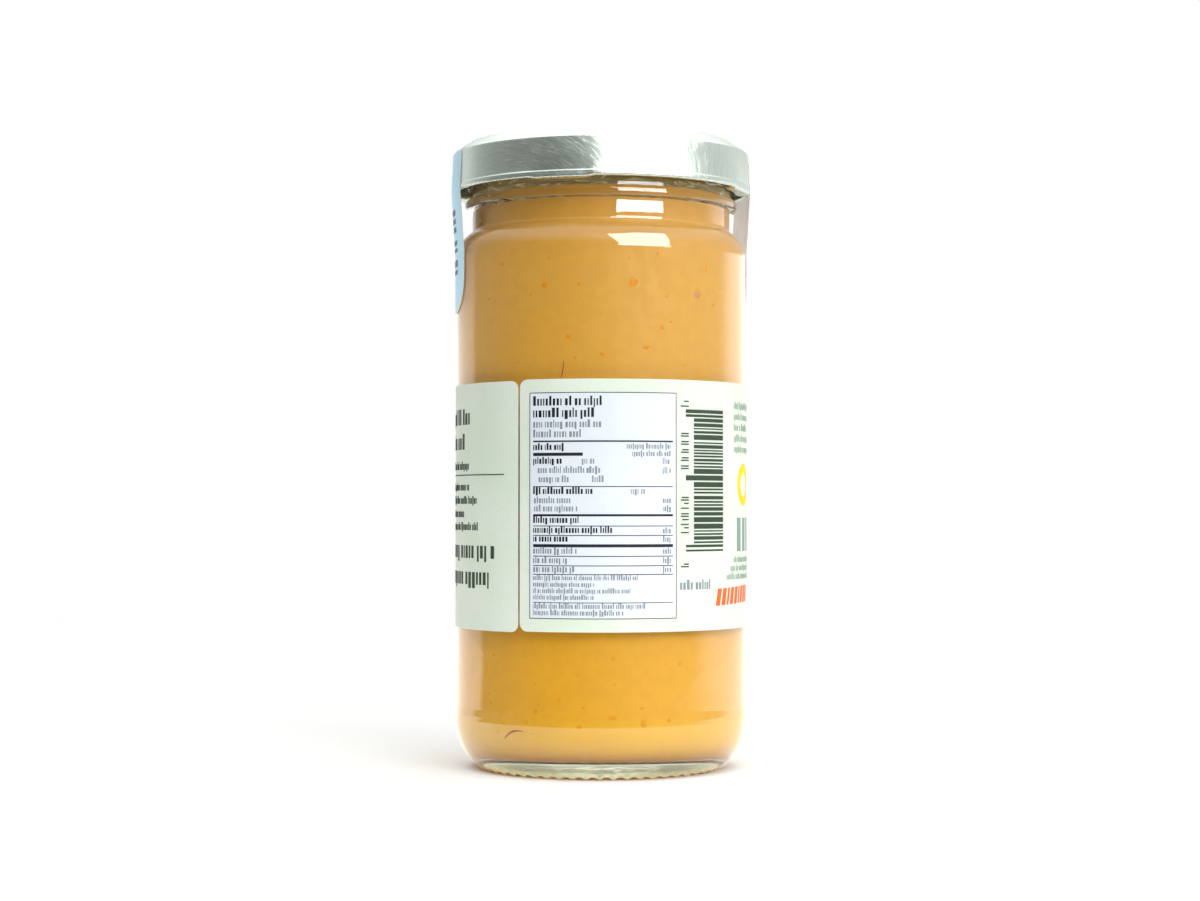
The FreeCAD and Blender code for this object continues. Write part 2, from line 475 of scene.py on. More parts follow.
def grain_group():
    """Fine lines that run one way: stretched noise, sharpened into a mask and a height."""
    name = "line grain"
    if name in bpy.data.node_groups:
        return bpy.data.node_groups[name]
    inputs = [
        ("Vector", "NodeSocketVector"),
        ("Rotation", "NodeSocketVector"),
        ("Stretch", "NodeSocketVector"),
        ("Sharpness", "NodeSocketFloat"),
    ]
    outputs = [("Mask", "NodeSocketFloat"), ("Height", "NodeSocketFloat")]
    tree, given, result = new_group(name, inputs, outputs)
    lay = {"Vector": given["Vector"], "Rotation": given["Rotation"]}
    turned = add(tree, "ShaderNodeMapping", lay).outputs[0]
    fine = noise_on(tree, stretched(tree, turned, given["Stretch"]), 1.0, Detail=3.0)
    low = maths(tree, "SUBTRACT", 0.62, given["Sharpness"])
    tree.links.new(spread(tree, fine, low, 0.72), result["Mask"])
    tree.links.new(fine, result["Height"])
    return tree


def paper_group():
    """Paper: short fibres that lie every way, with a slow cloudiness from how the pulp settled."""
    name = "paper fibre"
    if name in bpy.data.node_groups:
        return bpy.data.node_groups[name]
    inputs = [
        ("Vector", "NodeSocketVector"),
        ("Fibre scale", "NodeSocketFloat"),
        ("Paper", "NodeSocketColor"),
        ("Shade", "NodeSocketColor"),
    ]
    outputs = [("Colour", "NodeSocketColor"), ("Height", "NodeSocketFloat")]
    tree, given, result = new_group(name, inputs, outputs)
    fibres = noise_on(tree, given["Vector"], given["Fibre scale"], Detail=6.0, Distortion=1.2)
    pulp = noise_on(tree, given["Vector"], maths(tree, "MULTIPLY", given["Fibre scale"], 0.04))
    tone = maths(tree, "ADD", maths(tree, "MULTIPLY", fibres, 0.45), maths(tree, "MULTIPLY", pulp, 0.55))
    light = spread(tree, tone, 0.4, 0.62)
    tree.links.new(blended(tree, light, given["Shade"], given["Paper"]), result["Colour"])
    tree.links.new(fibres, result["Height"])
    return tree


def place_group(tree, group, **values):
    """A shared effect set into a material, with its own values."""
    node = tree.nodes.new("ShaderNodeGroup")
    node.node_tree = group
    for label, value in values.items():
        socket = node.inputs[label.replace("_", " ")]
        if isinstance(value, bpy.types.NodeSocket):
            tree.links.new(value, socket)
        else:
            socket.default_value = value
    return node.outputs


def new_material(name):
    """A material with nothing in it yet, its node tree and where its surface goes."""
    material = bpy.data.materials.new(name)
    material.use_nodes = True
    tree = material.node_tree
    tree.nodes.clear()
    surface = tree.nodes.new("ShaderNodeOutputMaterial").inputs["Surface"]
    return material, tree, surface


def on_object(tree):
    """Object coordinates, in metres."""
    return tree.nodes.new("ShaderNodeTexCoord").outputs["Object"]


def on_unwrap(tree):
    """The piece's own flat layout, in metres."""
    return tree.nodes.new("ShaderNodeTexCoord").outputs["UV"]


def bumped(tree, height, strength, distance):
    """A normal raised by a height, with distance in metres."""
    inputs = {"Height": height, "Strength": strength, "Distance": distance}
    return add(tree, "ShaderNodeBump", inputs).outputs[0]


# ---------------------------------------------------------------------------------------------------------
# Materials


def glass_material(colour, ior):
    """Clear soda glass: slightly wavy, faintly smudged, and open to lamps so that what it holds is lit."""
    material, tree, surface = new_material("clear_glass")
    place = on_object(tree)
    wave = noise_on(tree, place, 55.0, Detail=1.0)
    lines = noise_on(tree, stretched(tree, place, (900.0, 900.0, 12.0)), 1.0)
    smudge = place_group(tree, mottle_group(), Vector=place, Scale=160.0, Softness=0.16)["Mask"]
    level = height_of(tree, place)
    below_neck = spread(tree, level, 0.104, 0.109, 1.0, 0.0)
    swell = maths(tree, "MULTIPLY", maths(tree, "SUBTRACT", wave, 0.5), below_neck)
    fine = maths(tree, "ADD", maths(tree, "MULTIPLY", lines, 0.02), maths(tree, "MULTIPLY", smudge, 0.002))
    height = maths(tree, "ADD", swell, fine)
    # Painted reflection: the lowest few millimetres are tinted golden, standing in for the cream-lit floor
    # seen in the foot
    painted_golden_foot = spread(tree, level, 0.0008, 0.003, 1.0, 0.0)
    glass = add(
        tree,
        "ShaderNodeBsdfPrincipled",
        {
            "Base Color": blended(tree, painted_golden_foot, colour, (0.95, 0.82, 0.58, 1)),
            "IOR": ior,
            "Transmission Weight": 1.0,
            "Roughness": 0.0,
            "Normal": bumped(tree, height, 0.14, 0.0004),
        },
    )
    path = tree.nodes.new("ShaderNodeLightPath").outputs
    # Painted shadow colour: light that passes the lowest few millimetres is tinted golden, so the table by
    # the foot takes a golden shadow
    foot = spread(tree, level, 0.0012, 0.0036, 1.0, 0.0)
    lets_by = maths(tree, "MAXIMUM", path["Is Shadow Ray"], path["Is Diffuse Ray"])
    golden_shadow_tint = blended(tree, foot, (0.97, 0.985, 0.965, 1), (0.45, 0.25, 0.06, 1))
    clear = add(tree, "ShaderNodeBsdfTransparent", {"Color": golden_shadow_tint})
    mixed = add(tree, "ShaderNodeMixShader", {0: lets_by, 1: glass.outputs[0], 2: clear.outputs[0]})
    tree.links.new(mixed.outputs[0], surface)
    return material


def cream_material(golden, dull_and_top_shade):
    """Smooth cooked cream: golden low down and softly clouded all over.

    Painted shade makes it duller and darker towards the top, painted light from the table makes it lighter
    just above the floor, and a painted reflection makes it paler at a slant.

    Seen at a slant it turns into a mirror, as light in thick glass skims off the cream behind it.
    Where that light would need more turns, the mirror glows with painted light instead.
    """
    material, tree, surface = new_material("apple_cream_fill")
    place = on_object(tree)
    height = height_of(tree, place)
    # Painted shade: the colour turns from golden to dull going up, darker towards the top
    painted_top_shade = spread(tree, height, 0.02, 0.115)
    clouds = place_group(
        tree, mottle_group(), Vector=place, Scale=38.0, Softness=0.22, First=golden, Second=dull_and_top_shade
    )
    settled = blended(tree, painted_top_shade, golden, dull_and_top_shade)
    colour = blended(tree, 0.22, settled, clouds["Colour"])
    # Painted light from the table: the band just above the floor is multiplied lighter and yellower
    bottom = spread(tree, height, 0.009, 0.013, 1.0, 0.0)
    colour = blended(tree, bottom, colour, (1.0, 1.12, 0.95, 1), "MULTIPLY")
    pale, fleck = (1, 1, 1, 1), (0.93, 0.9, 0.8, 1)
    flecks = place_group(
        tree, mottle_group(), Vector=place, Scale=420.0, Softness=0.1, First=pale, Second=fleck
    )
    colour = blended(tree, 0.4, colour, flecks["Colour"], "MULTIPLY")
    # Painted shade: from the shoulder up the colour is multiplied darker and redder, as under the shoulder
    # and lid
    neck = spread(tree, height, 0.1, 0.112)
    colour = blended(tree, neck, colour, (0.92, 0.87, 0.82, 1), "MULTIPLY")
    bubbles = noise_on(tree, place, 700.0, Detail=3.0)
    slant = add(tree, "ShaderNodeLayerWeight", {"Blend": 0.5}).outputs["Facing"]
    # Painted reflection: at a slant the colour is paled towards a milky tone that stands in for the glass's
    # reflection
    painted_side_reflection = spread(tree, slant, 0.02, 0.22, 0.0, 0.06)
    colour = blended(tree, painted_side_reflection, colour, (0.8, 0.72, 0.55, 1))
    mirror = spread(tree, slant, 0.5, 0.6)
    # Painted light: after a second mirror turn the slanted cream glows, standing in for light from the
    # backdrop
    turns = tree.nodes.new("ShaderNodeLightPath").outputs["Glossy Depth"]
    painted_skim_glow = maths(tree, "MULTIPLY", mirror, maths(tree, "GREATER_THAN", turns, 1.5))
    rough = spread(tree, flecks["Mask"], 0.0, 1.0, 0.42, 0.55)
    principled(
        tree,
        surface,
        {
            "Base Color": blended(tree, mirror, colour, (0.94, 0.97, 0.9, 1)),
            "Metallic": mirror,
            "Roughness": maths(tree, "MULTIPLY", rough, maths(tree, "SUBTRACT", 1.0, mirror)),
            "Specular IOR Level": 0.15,
            "Emission Color": (0.29, 0.29, 0.2, 1),
            "Emission Strength": painted_skim_glow,
            "Normal": bumped(tree, bubbles, 0.15, 0.0002),
        },
    )
    return material


def film_material(film, crinkle):
    """The dried smear above the fill: brown, with painted golden glints on the ridges of its folds."""
    material, tree, surface = new_material("dried_cream_film")
    folds = noise_on(tree, stretched(tree, on_object(tree), (160.0, 160.0, 900.0)), 1.0, Detail=4.0)
    painted_glint_ridge = spread(tree, maths(tree, "ABSOLUTE", maths(tree, "SUBTRACT", folds, 0.5)), 0.03, 0.0)
    principled(
        tree,
        surface,
        {
            "Base Color": blended(tree, painted_glint_ridge, film, crinkle),
            "Roughness": spread(tree, painted_glint_ridge, 0.0, 1.0, 0.5, 0.3),
            "Specular IOR Level": 0.3,
            "Normal": bumped(tree, folds, 0.8, 0.0008),
        },
    )
    return material


def fruit_material(name, flesh, rim, ripe=(1, 1, 1, 1)):
    """A bit of fruit held in the cream, uneven in colour, and tinted by ripe low in the jar."""
    material, tree, surface = new_material(name)
    place = on_object(tree)
    tone = place_group(
        tree, mottle_group(), Vector=place, Scale=900.0, Softness=0.15, First=flesh, Second=rim
    )
    low = spread(tree, height_of(tree, place), 0.02, 0.06, 1.0, 0.0)
    principled(
        tree,
        surface,
        {
            "Base Color": blended(tree, low, tone["Colour"], ripe, "MULTIPLY"),
            "Roughness": spread(tree, tone["Mask"], 0.0, 1.0, 0.4, 0.6),
            "Specular IOR Level": 0.15,
        },
    )
    return material


def lid_material(colour, roughness):
    """Rolled tinplate: the sheet's straight grain, drawn down into the skirt, with stray scratches."""
    material, tree, surface = new_material("satin_tinplate")
    flat = on_unwrap(tree)
    rolling = {"Vector": flat, "Rotation": (0.0, 0.0, math.radians(-50))}
    grain = place_group(tree, grain_group(), **rolling, Stretch=(9000.0, 140.0, 1.0), Sharpness=0.2)
    scratches = place_group(tree, grain_group(), **rolling, Stretch=(8000.0, 260.0, 1.0), Sharpness=0.06)
    dimmer = shaded(colour, 0.94)
    clouds = place_group(
        tree, mottle_group(), Vector=flat, Scale=90.0, Softness=0.25, First=colour, Second=dimmer
    )
    rough = spread(tree, grain["Height"], 0.3, 0.7, roughness - 0.05, roughness + 0.06)
    height = maths(tree, "ADD", grain["Height"], maths(tree, "MULTIPLY", scratches["Mask"], 0.8))
    principled(
        tree,
        surface,
        {
            "Base Color": clouds["Colour"],
            "Metallic": 1.0,
            "Roughness": rough,
            "Normal": bumped(tree, height, 0.35, 0.00003),
        },
    )
    return material


def paper_material(
    name, paper, shade, roughness=0.62, see_through=0.0, depth=0.001, gloss=0.12, sheen=0.0, painted_glow=0.0
):
    """Coated paper with faint fibres and cloudiness, thin enough to let some light through.

    The painted glow is a faint blue emission that lights tinted paper where its shaded side lacks light.
    """
    material, tree, surface = new_material(name)
    fibres = place_group(
        tree, paper_group(), Vector=on_object(tree), Fibre_scale=1800.0, Paper=paper, Shade=shade
    )
    principled(
        tree,
        surface,
        {
            "Base Color": fibres["Colour"],
            "Roughness": spread(tree, fibres["Height"], 0.3, 0.7, roughness - 0.06, roughness + 0.08),
            "Specular IOR Level": gloss,
            "Subsurface Weight": see_through,
            "Subsurface Radius": (1.0, 1.0, 1.0),
            "Subsurface Scale": depth,
            "Sheen Weight": sheen,
            "Sheen Roughness": 0.4,
            "Sheen Tint": (0.8, 0.93, 1.0, 1),
            # Painted light: a faint blue glow standing in for light the paper lacks on its shaded side
            "Emission Color": (0.12, 0.5, 1.0, 1),
            "Emission Strength": painted_glow,
            "Normal": bumped(tree, fibres["Height"], 0.12, 0.00004),
        },
    )
    return material


def floor_material(white, gleam):
    """A plain white table that keeps the jar's shadow.

    Reflections show it bright close to the jar and behind it, and dim further off, where the room is dim.
    """
    material, tree, surface = new_material("white_table")
    place = on_object(tree)
    cool, plain = (0.86, 0.87, 0.86, 1), (0.88, 0.88, 0.88, 1)
    tone = place_group(
        tree, mottle_group(), Vector=place, Scale=6.0, Softness=0.3, First=cool, Second=plain
    )["Colour"]
    away = add(tree, "ShaderNodeVectorMath", {0: place}, operation="LENGTH").outputs["Value"]
    parts = add(tree, "ShaderNodeSeparateXYZ", {0: place}).outputs
    sideways = maths(tree, "DIVIDE", parts["X"], away)
    backwards = maths(tree, "DIVIDE", parts["Y"], away)
    close = spread(tree, away, 0.125, 0.14, 1.0, 0.0)
    nearest = spread(tree, sideways, -0.5, 0.5, 0.15, -0.5)
    furthest = spread(tree, sideways, -0.5, 0.5, 0.27, 0.2)
    behind = spread(tree, backwards, nearest, furthest)
    dim = spread(tree, sideways, -0.9, 0.9, 0.2, 0.55)
    bright = maths(tree, "MAXIMUM", close, behind)
    path = tree.nodes.new("ShaderNodeLightPath").outputs
    level = maths(tree, "ADD", 1.1, maths(tree, "MULTIPLY", path["Is Singular Ray"], gleam - 1.1))
    mirrored = maths(tree, "ADD", dim, maths(tree, "MULTIPLY", bright, maths(tree, "SUBTRACT", level, dim)))
    first = maths(tree, "LESS_THAN", path["Glossy Depth"], 1.5)
    by_gloss = maths(tree, "MULTIPLY", path["Is Glossy Ray"], first)
    change = maths(tree, "MULTIPLY", by_gloss, maths(tree, "SUBTRACT", mirrored, white))
    seen = maths(tree, "ADD", white, change)
    lifted = add(tree, "ShaderNodeVectorMath", {0: tone, 3: seen}, operation="SCALE").outputs[0]
    table = add(tree, "ShaderNodeBsdfDiffuse", {"Color": lifted})
    tree.links.new(table.outputs[0], surface)
    return material


# ---------------------------------------------------------------------------------------------------------
# Jar, contents and lid


def inner_shoulder():
    """The two corners of the inside wall that run parallel to the outside shoulder."""
    outside = [
        (body_radius, 0, 0),
        (body_radius, shoulder_height, shoulder_curve),
        (neck_radius, neck_start, neck_fillet),
        (neck_radius, jar_height, 0),
    ]
    return beside(outside, -wall)[1:3]


def inside_floor():
    """The inside floor, raised a little in the middle, from the wall to the axis."""
    top = floor_height + floor_rise
    return [
        (body_radius - wall, floor_height, floor_corner),
        (floor_rise_radius, floor_height, floor_rise_radius),
        (floor_rise_radius / 2, top, floor_rise_radius / 2),
        (0, top, 0),
    ]


def glass_corners():
    """The glass from the middle of its underside, out and up to the rim, and down inside to the floor."""
    thread_rows = 12
    thread_low = thread_middle - thread_foot
    thread_zone = [
        (finish_radius, thread_low + 2 * thread_foot * i / thread_rows, 0) for i in range(thread_rows + 1)
    ]
    return [
        (0, push_up, 0),
        (foot_radius - foot_width - push_up, push_up, push_up),
        (foot_radius - foot_width, 0, foot_edge),
        (foot_radius - foot_width + foot_notch_stop, 0, 0),
        (foot_radius - foot_width + foot_notch_stop * 1.2, 0, 0),
        (foot_radius, 0, foot_edge),
        (heel_radius, heel_corner_height, heel_curve),
        (heel_radius, heel_band_top, heel_band_top / 2),
        (body_radius, heel_band_top + heel_step * 8, heel_band_top / 2),
        (body_radius, shoulder_height - shoulder_curve * 0.58, 0),
        (body_radius, shoulder_height, shoulder_curve),
        (neck_radius, neck_start, neck_fillet),
        (neck_radius, neck_start + neck_fillet * 0.75, 0),
        (neck_radius, bead_bottom - bead_slant * 2.4, 0),
        (neck_radius, bead_bottom, bead_slant),
        (bead_radius, bead_bottom + bead_slant, bead_edge),
        (bead_radius, bead_top - bead_slant, bead_edge),
        (finish_radius, bead_top, bead_slant),
        *thread_zone,
        (finish_radius, jar_height, rim_edge),
        (mouth_radius, jar_height, rim_edge),
        *inner_shoulder()[::-1],
        *inside_floor(),
    ]


def cut_foot_notches(bm):
    """Short radial notches that leave a ring of small teeth for the jar to stand on."""
    start = foot_radius - foot_width + foot_notch_stop * 1.1
    for vert in bm.verts:
        away = math.hypot(vert.co.x, vert.co.y)
        share = (bearing(vert.co) * foot_notch_count / FULL_TURN) % 1
        if vert.co.z < foot_notch_depth and away > start and 0.25 < share < 0.75:
            vert.co.z = foot_notch_depth


def raise_threads(bm):
    """Four sloping ridges round the finish, each fading out at its two ends."""
    middle_wall = finish_radius - wall / 2
    for vert in bm.verts:
        if math.hypot(vert.co.x, vert.co.y) < middle_wall or vert.co.z < bead_top:
            continue
        for i in range(thread_count):
            away = off_bearing(vert.co, first_thread_bearing + i * FULL_TURN / thread_count)
            rise = finish_radius * away * math.tan(thread_slope)
            height = abs(vert.co.z - thread_middle - rise)
            flank = min(max((thread_foot / 2 - height) / ((thread_foot - thread_crest) / 2), 0), 1)
            ends = 1 - fade(abs(away), thread_span / 2 - 0.08, thread_span / 2)
            push(vert, thread_step * flank * ends)


def raise_mould_seam(bm):
    """The fine line that the two halves of the mould leave down both sides of the body."""
    rim = [vert for vert in bm.verts if vert.co.z > bead_top]
    line = min(abs(off_bearing(vert.co, mould_seam_bearing)) for vert in rim)
    for vert in bm.verts:
        outside = math.hypot(vert.co.x, vert.co.y) > body_radius - wall / 2
        for half in (0, math.pi):
            on_line = abs(off_bearing(vert.co, mould_seam_bearing + half)) < line + 0.001
            if outside and on_line and heel_corner_height < vert.co.z < neck_start:
                push(vert, mould_seam_height)


def cream_corners(reach):
    """The contents from the axis, out over the floor, up the wall that they reach into, and over the top."""
    sag = 0.5
    meniscus = 1.5
    glass = inside_floor()[::-1] + inner_shoulder() + [(mouth_radius, fill_height, 0)]
    surface = [
        (mouth_radius - meniscus, fill_height - sag, meniscus),
        (0, fill_height - sag, 0),
    ]
    return beside(glass, reach) + surface


def unsettle_top(bm, wave):
    """Uneven top edge and surface of the contents, as a poured thick cream leaves them."""
    for vert in bm.verts:
        if vert.co.z > fill_height - 2.5:
            grip = fade(vert.co.z, fill_height - 2.5, fill_height - 0.6)
            spot = Vector((vert.co.x, vert.co.y, 0)) / 9
            vert.co.z += grip * wave * (noise.noise(spot) - 0.2)


def film_ring(bm, reach, rows=7):
    """A thin smear of cream left on the inside wall above the fill, with a ragged top edge."""
    base = fill_height - 1.2
    start = bmesh.ops.create_circle(
        bm,
        cap_ends=False,
        radius=mouth_radius + reach,
        segments=ROUND_STEPS * 2,
        matrix=Matrix.Translation((0, 0, base)),
    )
    edges = list({edge for vert in start["verts"] for edge in vert.link_edges})
    for row in range(1, rows + 1):
        grown = bmesh.ops.extrude_edge_only(bm, edges=edges)["geom"]
        edges = of_kind(grown, bmesh.types.BMEdge)
        for vert in {vert for edge in edges for vert in edge.verts}:
            spot = Vector((vert.co.x, vert.co.y, 0))
            ragged = 3.4 + 1.6 * noise.noise(spot / 7) + 0.9 * noise.noise(spot / 2.2)
            vert.co.z = base + (1.2 + max(ragged, 0.2)) * row / rows
    for vert in bm.verts:
        crinkle = noise.noise(Vector((vert.co.x, vert.co.y, 4 * vert.co.z)) / 2.5)
        push(vert, -0.1 - 0.1 * crinkle)
    bmesh.ops.recalc_face_normals(bm, faces=bm.faces)
    bmesh.ops.solidify(bm, geom=bm.faces[:], thickness=0.12)
    bmesh.ops.recalc_face_normals(bm, faces=bm.faces)


def speck(bm, angle, height, width, tall, detail=2):
    """A flattened uneven lump, half sunk in the face of the contents, in the flat layout."""
    depth = 0.12
    lump = bmesh.ops.create_icosphere(bm, subdivisions=detail, radius=0.5)["verts"]
    for vert in lump:
        vert.co *= 1 + 0.35 * noise.noise(vert.co * 3 + Vector((angle * 9, height, 0)))
    shape = Matrix.Diagonal((width, depth, tall, 1))
    place = Matrix.Translation((angle * (body_radius - wall), -depth * 0.1, height))
    bmesh.ops.transform(bm, matrix=place @ shape, verts=lump)


def fibre(bm, angle, height, length, lean, bend, thickness=0.16):
    """A short curved thread of fruit, half sunk in the face of the contents, in the flat layout."""
    steps = 10
    start = Matrix.Translation((0, 0, -length / 2))
    disc = bmesh.ops.create_circle(bm, cap_ends=True, radius=thickness / 2, segments=6, matrix=start)
    strand = disc["verts"]
    tip = strand[0].link_faces[0]
    for _ in range(steps):
        grown = bmesh.ops.extrude_face_region(bm, geom=[tip, *tip.edges, *tip.verts])["geom"]
        tip = of_kind(grown, bmesh.types.BMFace)[0]
        bmesh.ops.translate(bm, vec=(0, 0, length / steps), verts=tip.verts)
        strand += tip.verts
    for vert in strand:
        share = 2 * vert.co.z / length
        slimmer = 1 - 0.7 * share * share
        vert.co.x = vert.co.x * slimmer + bend * (1 - share * share)
        vert.co.y *= slimmer
    place = Matrix.Translation((angle * (body_radius - wall), 0, height))
    bmesh.ops.transform(bm, matrix=place @ Matrix.Rotation(lean, 4, "Y"), verts=strand)


def lid_corners():
    """The lid's sheet as a closed outline: over the top, down the skirt, round the curl and back inside."""
    panel_height = lid_top - panel_drop
    outside = [
        (0, panel_height + button_rise, 0),
        (button_radius - button_rise, panel_height + button_rise, button_rise),
        (button_radius, panel_height, button_rise),
        (mouth_radius - panel_slant, panel_height, lid_ring_edge / 2),
        (mouth_radius, lid_top, lid_ring_edge),
        (finish_radius - lid_ring_inset, lid_top, lid_ring_edge),
        (skirt_top_radius, lid_top - shoulder_fall, skirt_edge),
        (skirt_bottom_radius, curl_height + 1.6 * curl_radius, curl_radius),
    ]
    inside = beside(outside, lid_sheet)
    curl = [
        (curl_outer, curl_height + curl_radius, curl_radius / 2),
        (curl_outer, curl_height - curl_radius, curl_radius),
        (curl_outer - 2 * curl_radius, curl_height - curl_radius, curl_radius),
        (curl_outer - 2 * curl_radius, curl_height + curl_radius, curl_radius),
        (inside[-1][0], curl_height + curl_radius, 0),
    ]
    return outside + curl + inside[::-1]


def press_lugs(bm):
    """Squeezes the curl inwards into four flat tabs, and draws the skirt in a little above each."""
    curl_middle = curl_outer - curl_radius
    lug_middle = lid_low.z + lug_height / 2
    lug_inner = thread_radius - lug_reach
    lug_outer = skirt_bottom_radius - lid_sheet / 2
    half = lug_width / 2 / curl_outer
    for vert in bm.verts:
        nearest = min(
            abs(off_bearing(vert.co, first_thread_bearing + i * FULL_TURN / thread_count))
            for i in range(thread_count)
        )
        pressed = 1 - fade(nearest, half, half + 0.07)
        away = math.hypot(vert.co.x, vert.co.y)
        if vert.co.z < curl_height + 1.02 * curl_radius and pressed > 0:
            across = (away - curl_middle) / curl_radius / 2
            up = (vert.co.z - curl_height) / curl_radius / 2
            reach = lug_outer - (0.5 - across) * (lug_outer - lug_inner)
            push(vert, pressed * (reach - away))
            vert.co.z += pressed * (lug_middle + up * lug_height - vert.co.z)
        elif away > skirt_top_radius - 2 * lid_sheet:
            low = 1 - fade(vert.co.z, curl_height + curl_radius, curl_height + 4 * curl_radius)
            push(vert, -0.18 * pressed * low)


def lay_flat_layout(bm):
    """Unwraps the lid as the flat blank that it was pressed from, in metres."""
    layer = bm.loops.layers.uv.new("blank")
    for face in bm.faces:
        for loop in face.loops:
            point = loop.vert.co
            away = math.hypot(point.x, point.y)
            stretch = 1 + max(lid_top - point.z, 0) / max(away, 1) if away > mouth_radius else 1
            loop[layer].uv = (point.x * stretch * MM, point.y * stretch * MM)


# ---------------------------------------------------------------------------------------------------------
# Paper


def label_sheet():
    """The label cut flat with rounded corners, creased every millimetre round so that it can be wrapped."""
    bm = bmesh.new()
    left = label_seam_bearing * label_inner + label_seam_gap / 2
    right = left + FULL_TURN * label_inner - label_seam_gap
    corners = [(left, label_bottom), (right, label_bottom), (right, label_top), (left, label_top)]
    face = bm.faces.new([bm.verts.new((x, 0, z)) for x, z in corners])
    round_off(bm, list(face.verts), label_corner, 8)
    thicken(bm, bm.faces[:], label_thickness)
    creased(bm, 1.0)
    for vert in bm.verts:
        round_jar = (vert.co.x - left) / (right - left)
        vert.co.z -= label_skew * fade(round_jar, 0.5, 1)
    bmesh.ops.recalc_face_normals(bm, faces=bm.faces)
    return bm


def greeked_row(bm, draw, left, right, base, height, gap=0.35):
    """A row of small blocks that stand for print: words of uneven length, blocks of uneven height."""
    x = left
    while x < right - height * 0.4:
        for _ in range(draw.randint(2, 9)):
            width = height * draw.uniform(0.16, 0.46)
            if x + width > right:
                return
            bottom = base - (height * 0.28 if draw.random() < 0.1 else 0)
            top = base + height * draw.choice((1.0, 1.0, 1.0, 1.38))
            slab(bm, x, x + width, bottom, top, ink_height, ink_height)
            x += width + height * 0.22
        x += height * gap


def rule(bm, left, right, height, weight):
    """A printed line."""
    slab(bm, left, right, height - weight / 2, height + weight / 2, ink_height, ink_height)


def flat_ring(bm, x, z, outer, inner):
    """A printed ring in the flat layout, standing up from the paper by the ink's height."""
    lie = Matrix.Translation((x, 0, z)) @ Matrix.Rotation(math.pi / 2, 4, "X")
    edges = []
    for radius in (outer, inner):
        loop = bmesh.ops.create_circle(bm, cap_ends=False, radius=radius, segments=48, matrix=lie)["verts"]
        edges += list({edge for vert in loop for edge in vert.link_edges})
    thicken(bm, bmesh.ops.bridge_loops(bm, edges=edges)["faces"], ink_height)


def facts_field(bm):
    """The bluish white panel behind the dark rows."""
    slab(bm, panel_left, panel_right, panel_bottom, panel_top, field_height, field_height)


def facts_print(bm, draw):
    """The framed table: its frame, rules and rows of blocks."""
    left = panel_left + panel_edge
    right = panel_right - panel_edge
    frame_weight = 0.14
    for z in (panel_bottom, panel_top):
        rule(bm, panel_left, panel_right, z, frame_weight)
    for x in (panel_left, panel_right):
        slab(bm, x - frame_weight / 2, x + frame_weight / 2, panel_bottom, panel_top, ink_height, ink_height)
    for z, weight in (
        (66.4, 0.3),
        (57.55, 0.16),
        (51.95, 0.42),
        (49.85, 0.16),
        (48.0, 0.16),
        (46.0, 0.6),
        (43.95, 0.16),
        (42.1, 0.16),
        (40.4, 0.16),
        (34.9, 0.14),
    ):
        rule(bm, left, right, z, weight)
    rule(bm, left, left + 10.2, 63.85, 0.62)
    for z, length in ((73.4, 14.2), (71.1, 12.6)):
        greeked_row(bm, draw, left, left + length, z, 1.35, gap=0.3)
    for z, length in ((64.7, 6.6), (62.0, 6.0), (56.1, 12.3), (50.45, 9.6), (48.5, 16.2), (46.8, 7.2)):
        greeked_row(bm, draw, left, left + length, z, 0.98)


def facts_small_print(bm, draw):
    """The lighter rows of the table, its right-hand column and the notes under it."""
    left = panel_left + panel_edge
    right = panel_right - panel_edge
    rows = (
        (69.1, 0, 14.3, 1.1),
        (67.2, 0, 10.2, 1.1),
        (60.2, 1.0, 11.6, 0.95),
        (58.4, 1.2, 7.6, 0.95),
        (54.3, 0.2, 8.6, 0.95),
        (52.7, 0.2, 9.6, 0.95),
        (44.45, 0, 9.2, 0.95),
        (42.6, 0, 7.4, 0.95),
        (40.85, 0, 8.8, 0.95),
        (39.3, 0, 21.0, 0.72),
        (38.0, 0, 12.6, 0.72),
        (36.75, 0, 19.8, 0.72),
        (35.5, 0, 12.6, 0.72),
        (33.75, 0, 22.8, 0.78),
        (32.45, 0, 18.2, 0.78),
    )
    for z, start, end, height in rows:
        greeked_row(bm, draw, left + start, left + end, z, height)
    for z in (62.0, 60.25, 54.35, 52.75, 48.4, 46.75, 44.4, 42.6, 40.8):
        greeked_row(bm, draw, right - 2.2, right - 0.3, z, 0.85)
    for z, start in ((62.0, 10.0), (60.2, 10.9), (58.4, 12.0), (56.1, 19.6)):
        greeked_row(bm, draw, left + start, left + start + 2.9, z, 0.95)
    greeked_row(bm, draw, 16.3, 24.8, 37.3, 1.4)
    for z, start in ((64.95, 18.8), (63.5, 19.9)):
        greeked_row(bm, draw, left + start, right - 0.5, z, 0.8)


def stock_bars(bm, draw):
    """Plain bars of uneven weight, longer at the ends and middle, beside a column of short marks."""
    left, guard_left, right = 19.7, 17.7, 28.4
    bottom, top = 44.8, 73.1
    z = bottom
    while z < top:
        weight = draw.choice((0.28, 0.36, 0.5, 0.7, 1.0))
        share = (z - bottom) / (top - bottom)
        guard = any(abs(share - place) < 0.04 for place in (0.0, 0.5, 0.97))
        slab(bm, guard_left if guard else left, right, z, min(z + weight, top), ink_height, ink_height)
        z += weight + draw.choice((0.24, 0.26, 0.3, 0.46))
    for start, count in ((73.3, 1), (61.0, 5), (48.4, 5), (41.7, 1)):
        for i in range(count):
            z = start + 1.6 * i
            tall = draw.choice((0.5, 0.95))
            slab(bm, 16.5, 18.4, z, z + 0.26, ink_height, ink_height)
            start_x = 16.5 + draw.uniform(0, 0.8)
            slab(bm, start_x, 18.4, z + tall, z + tall + 0.26, ink_height, ink_height)


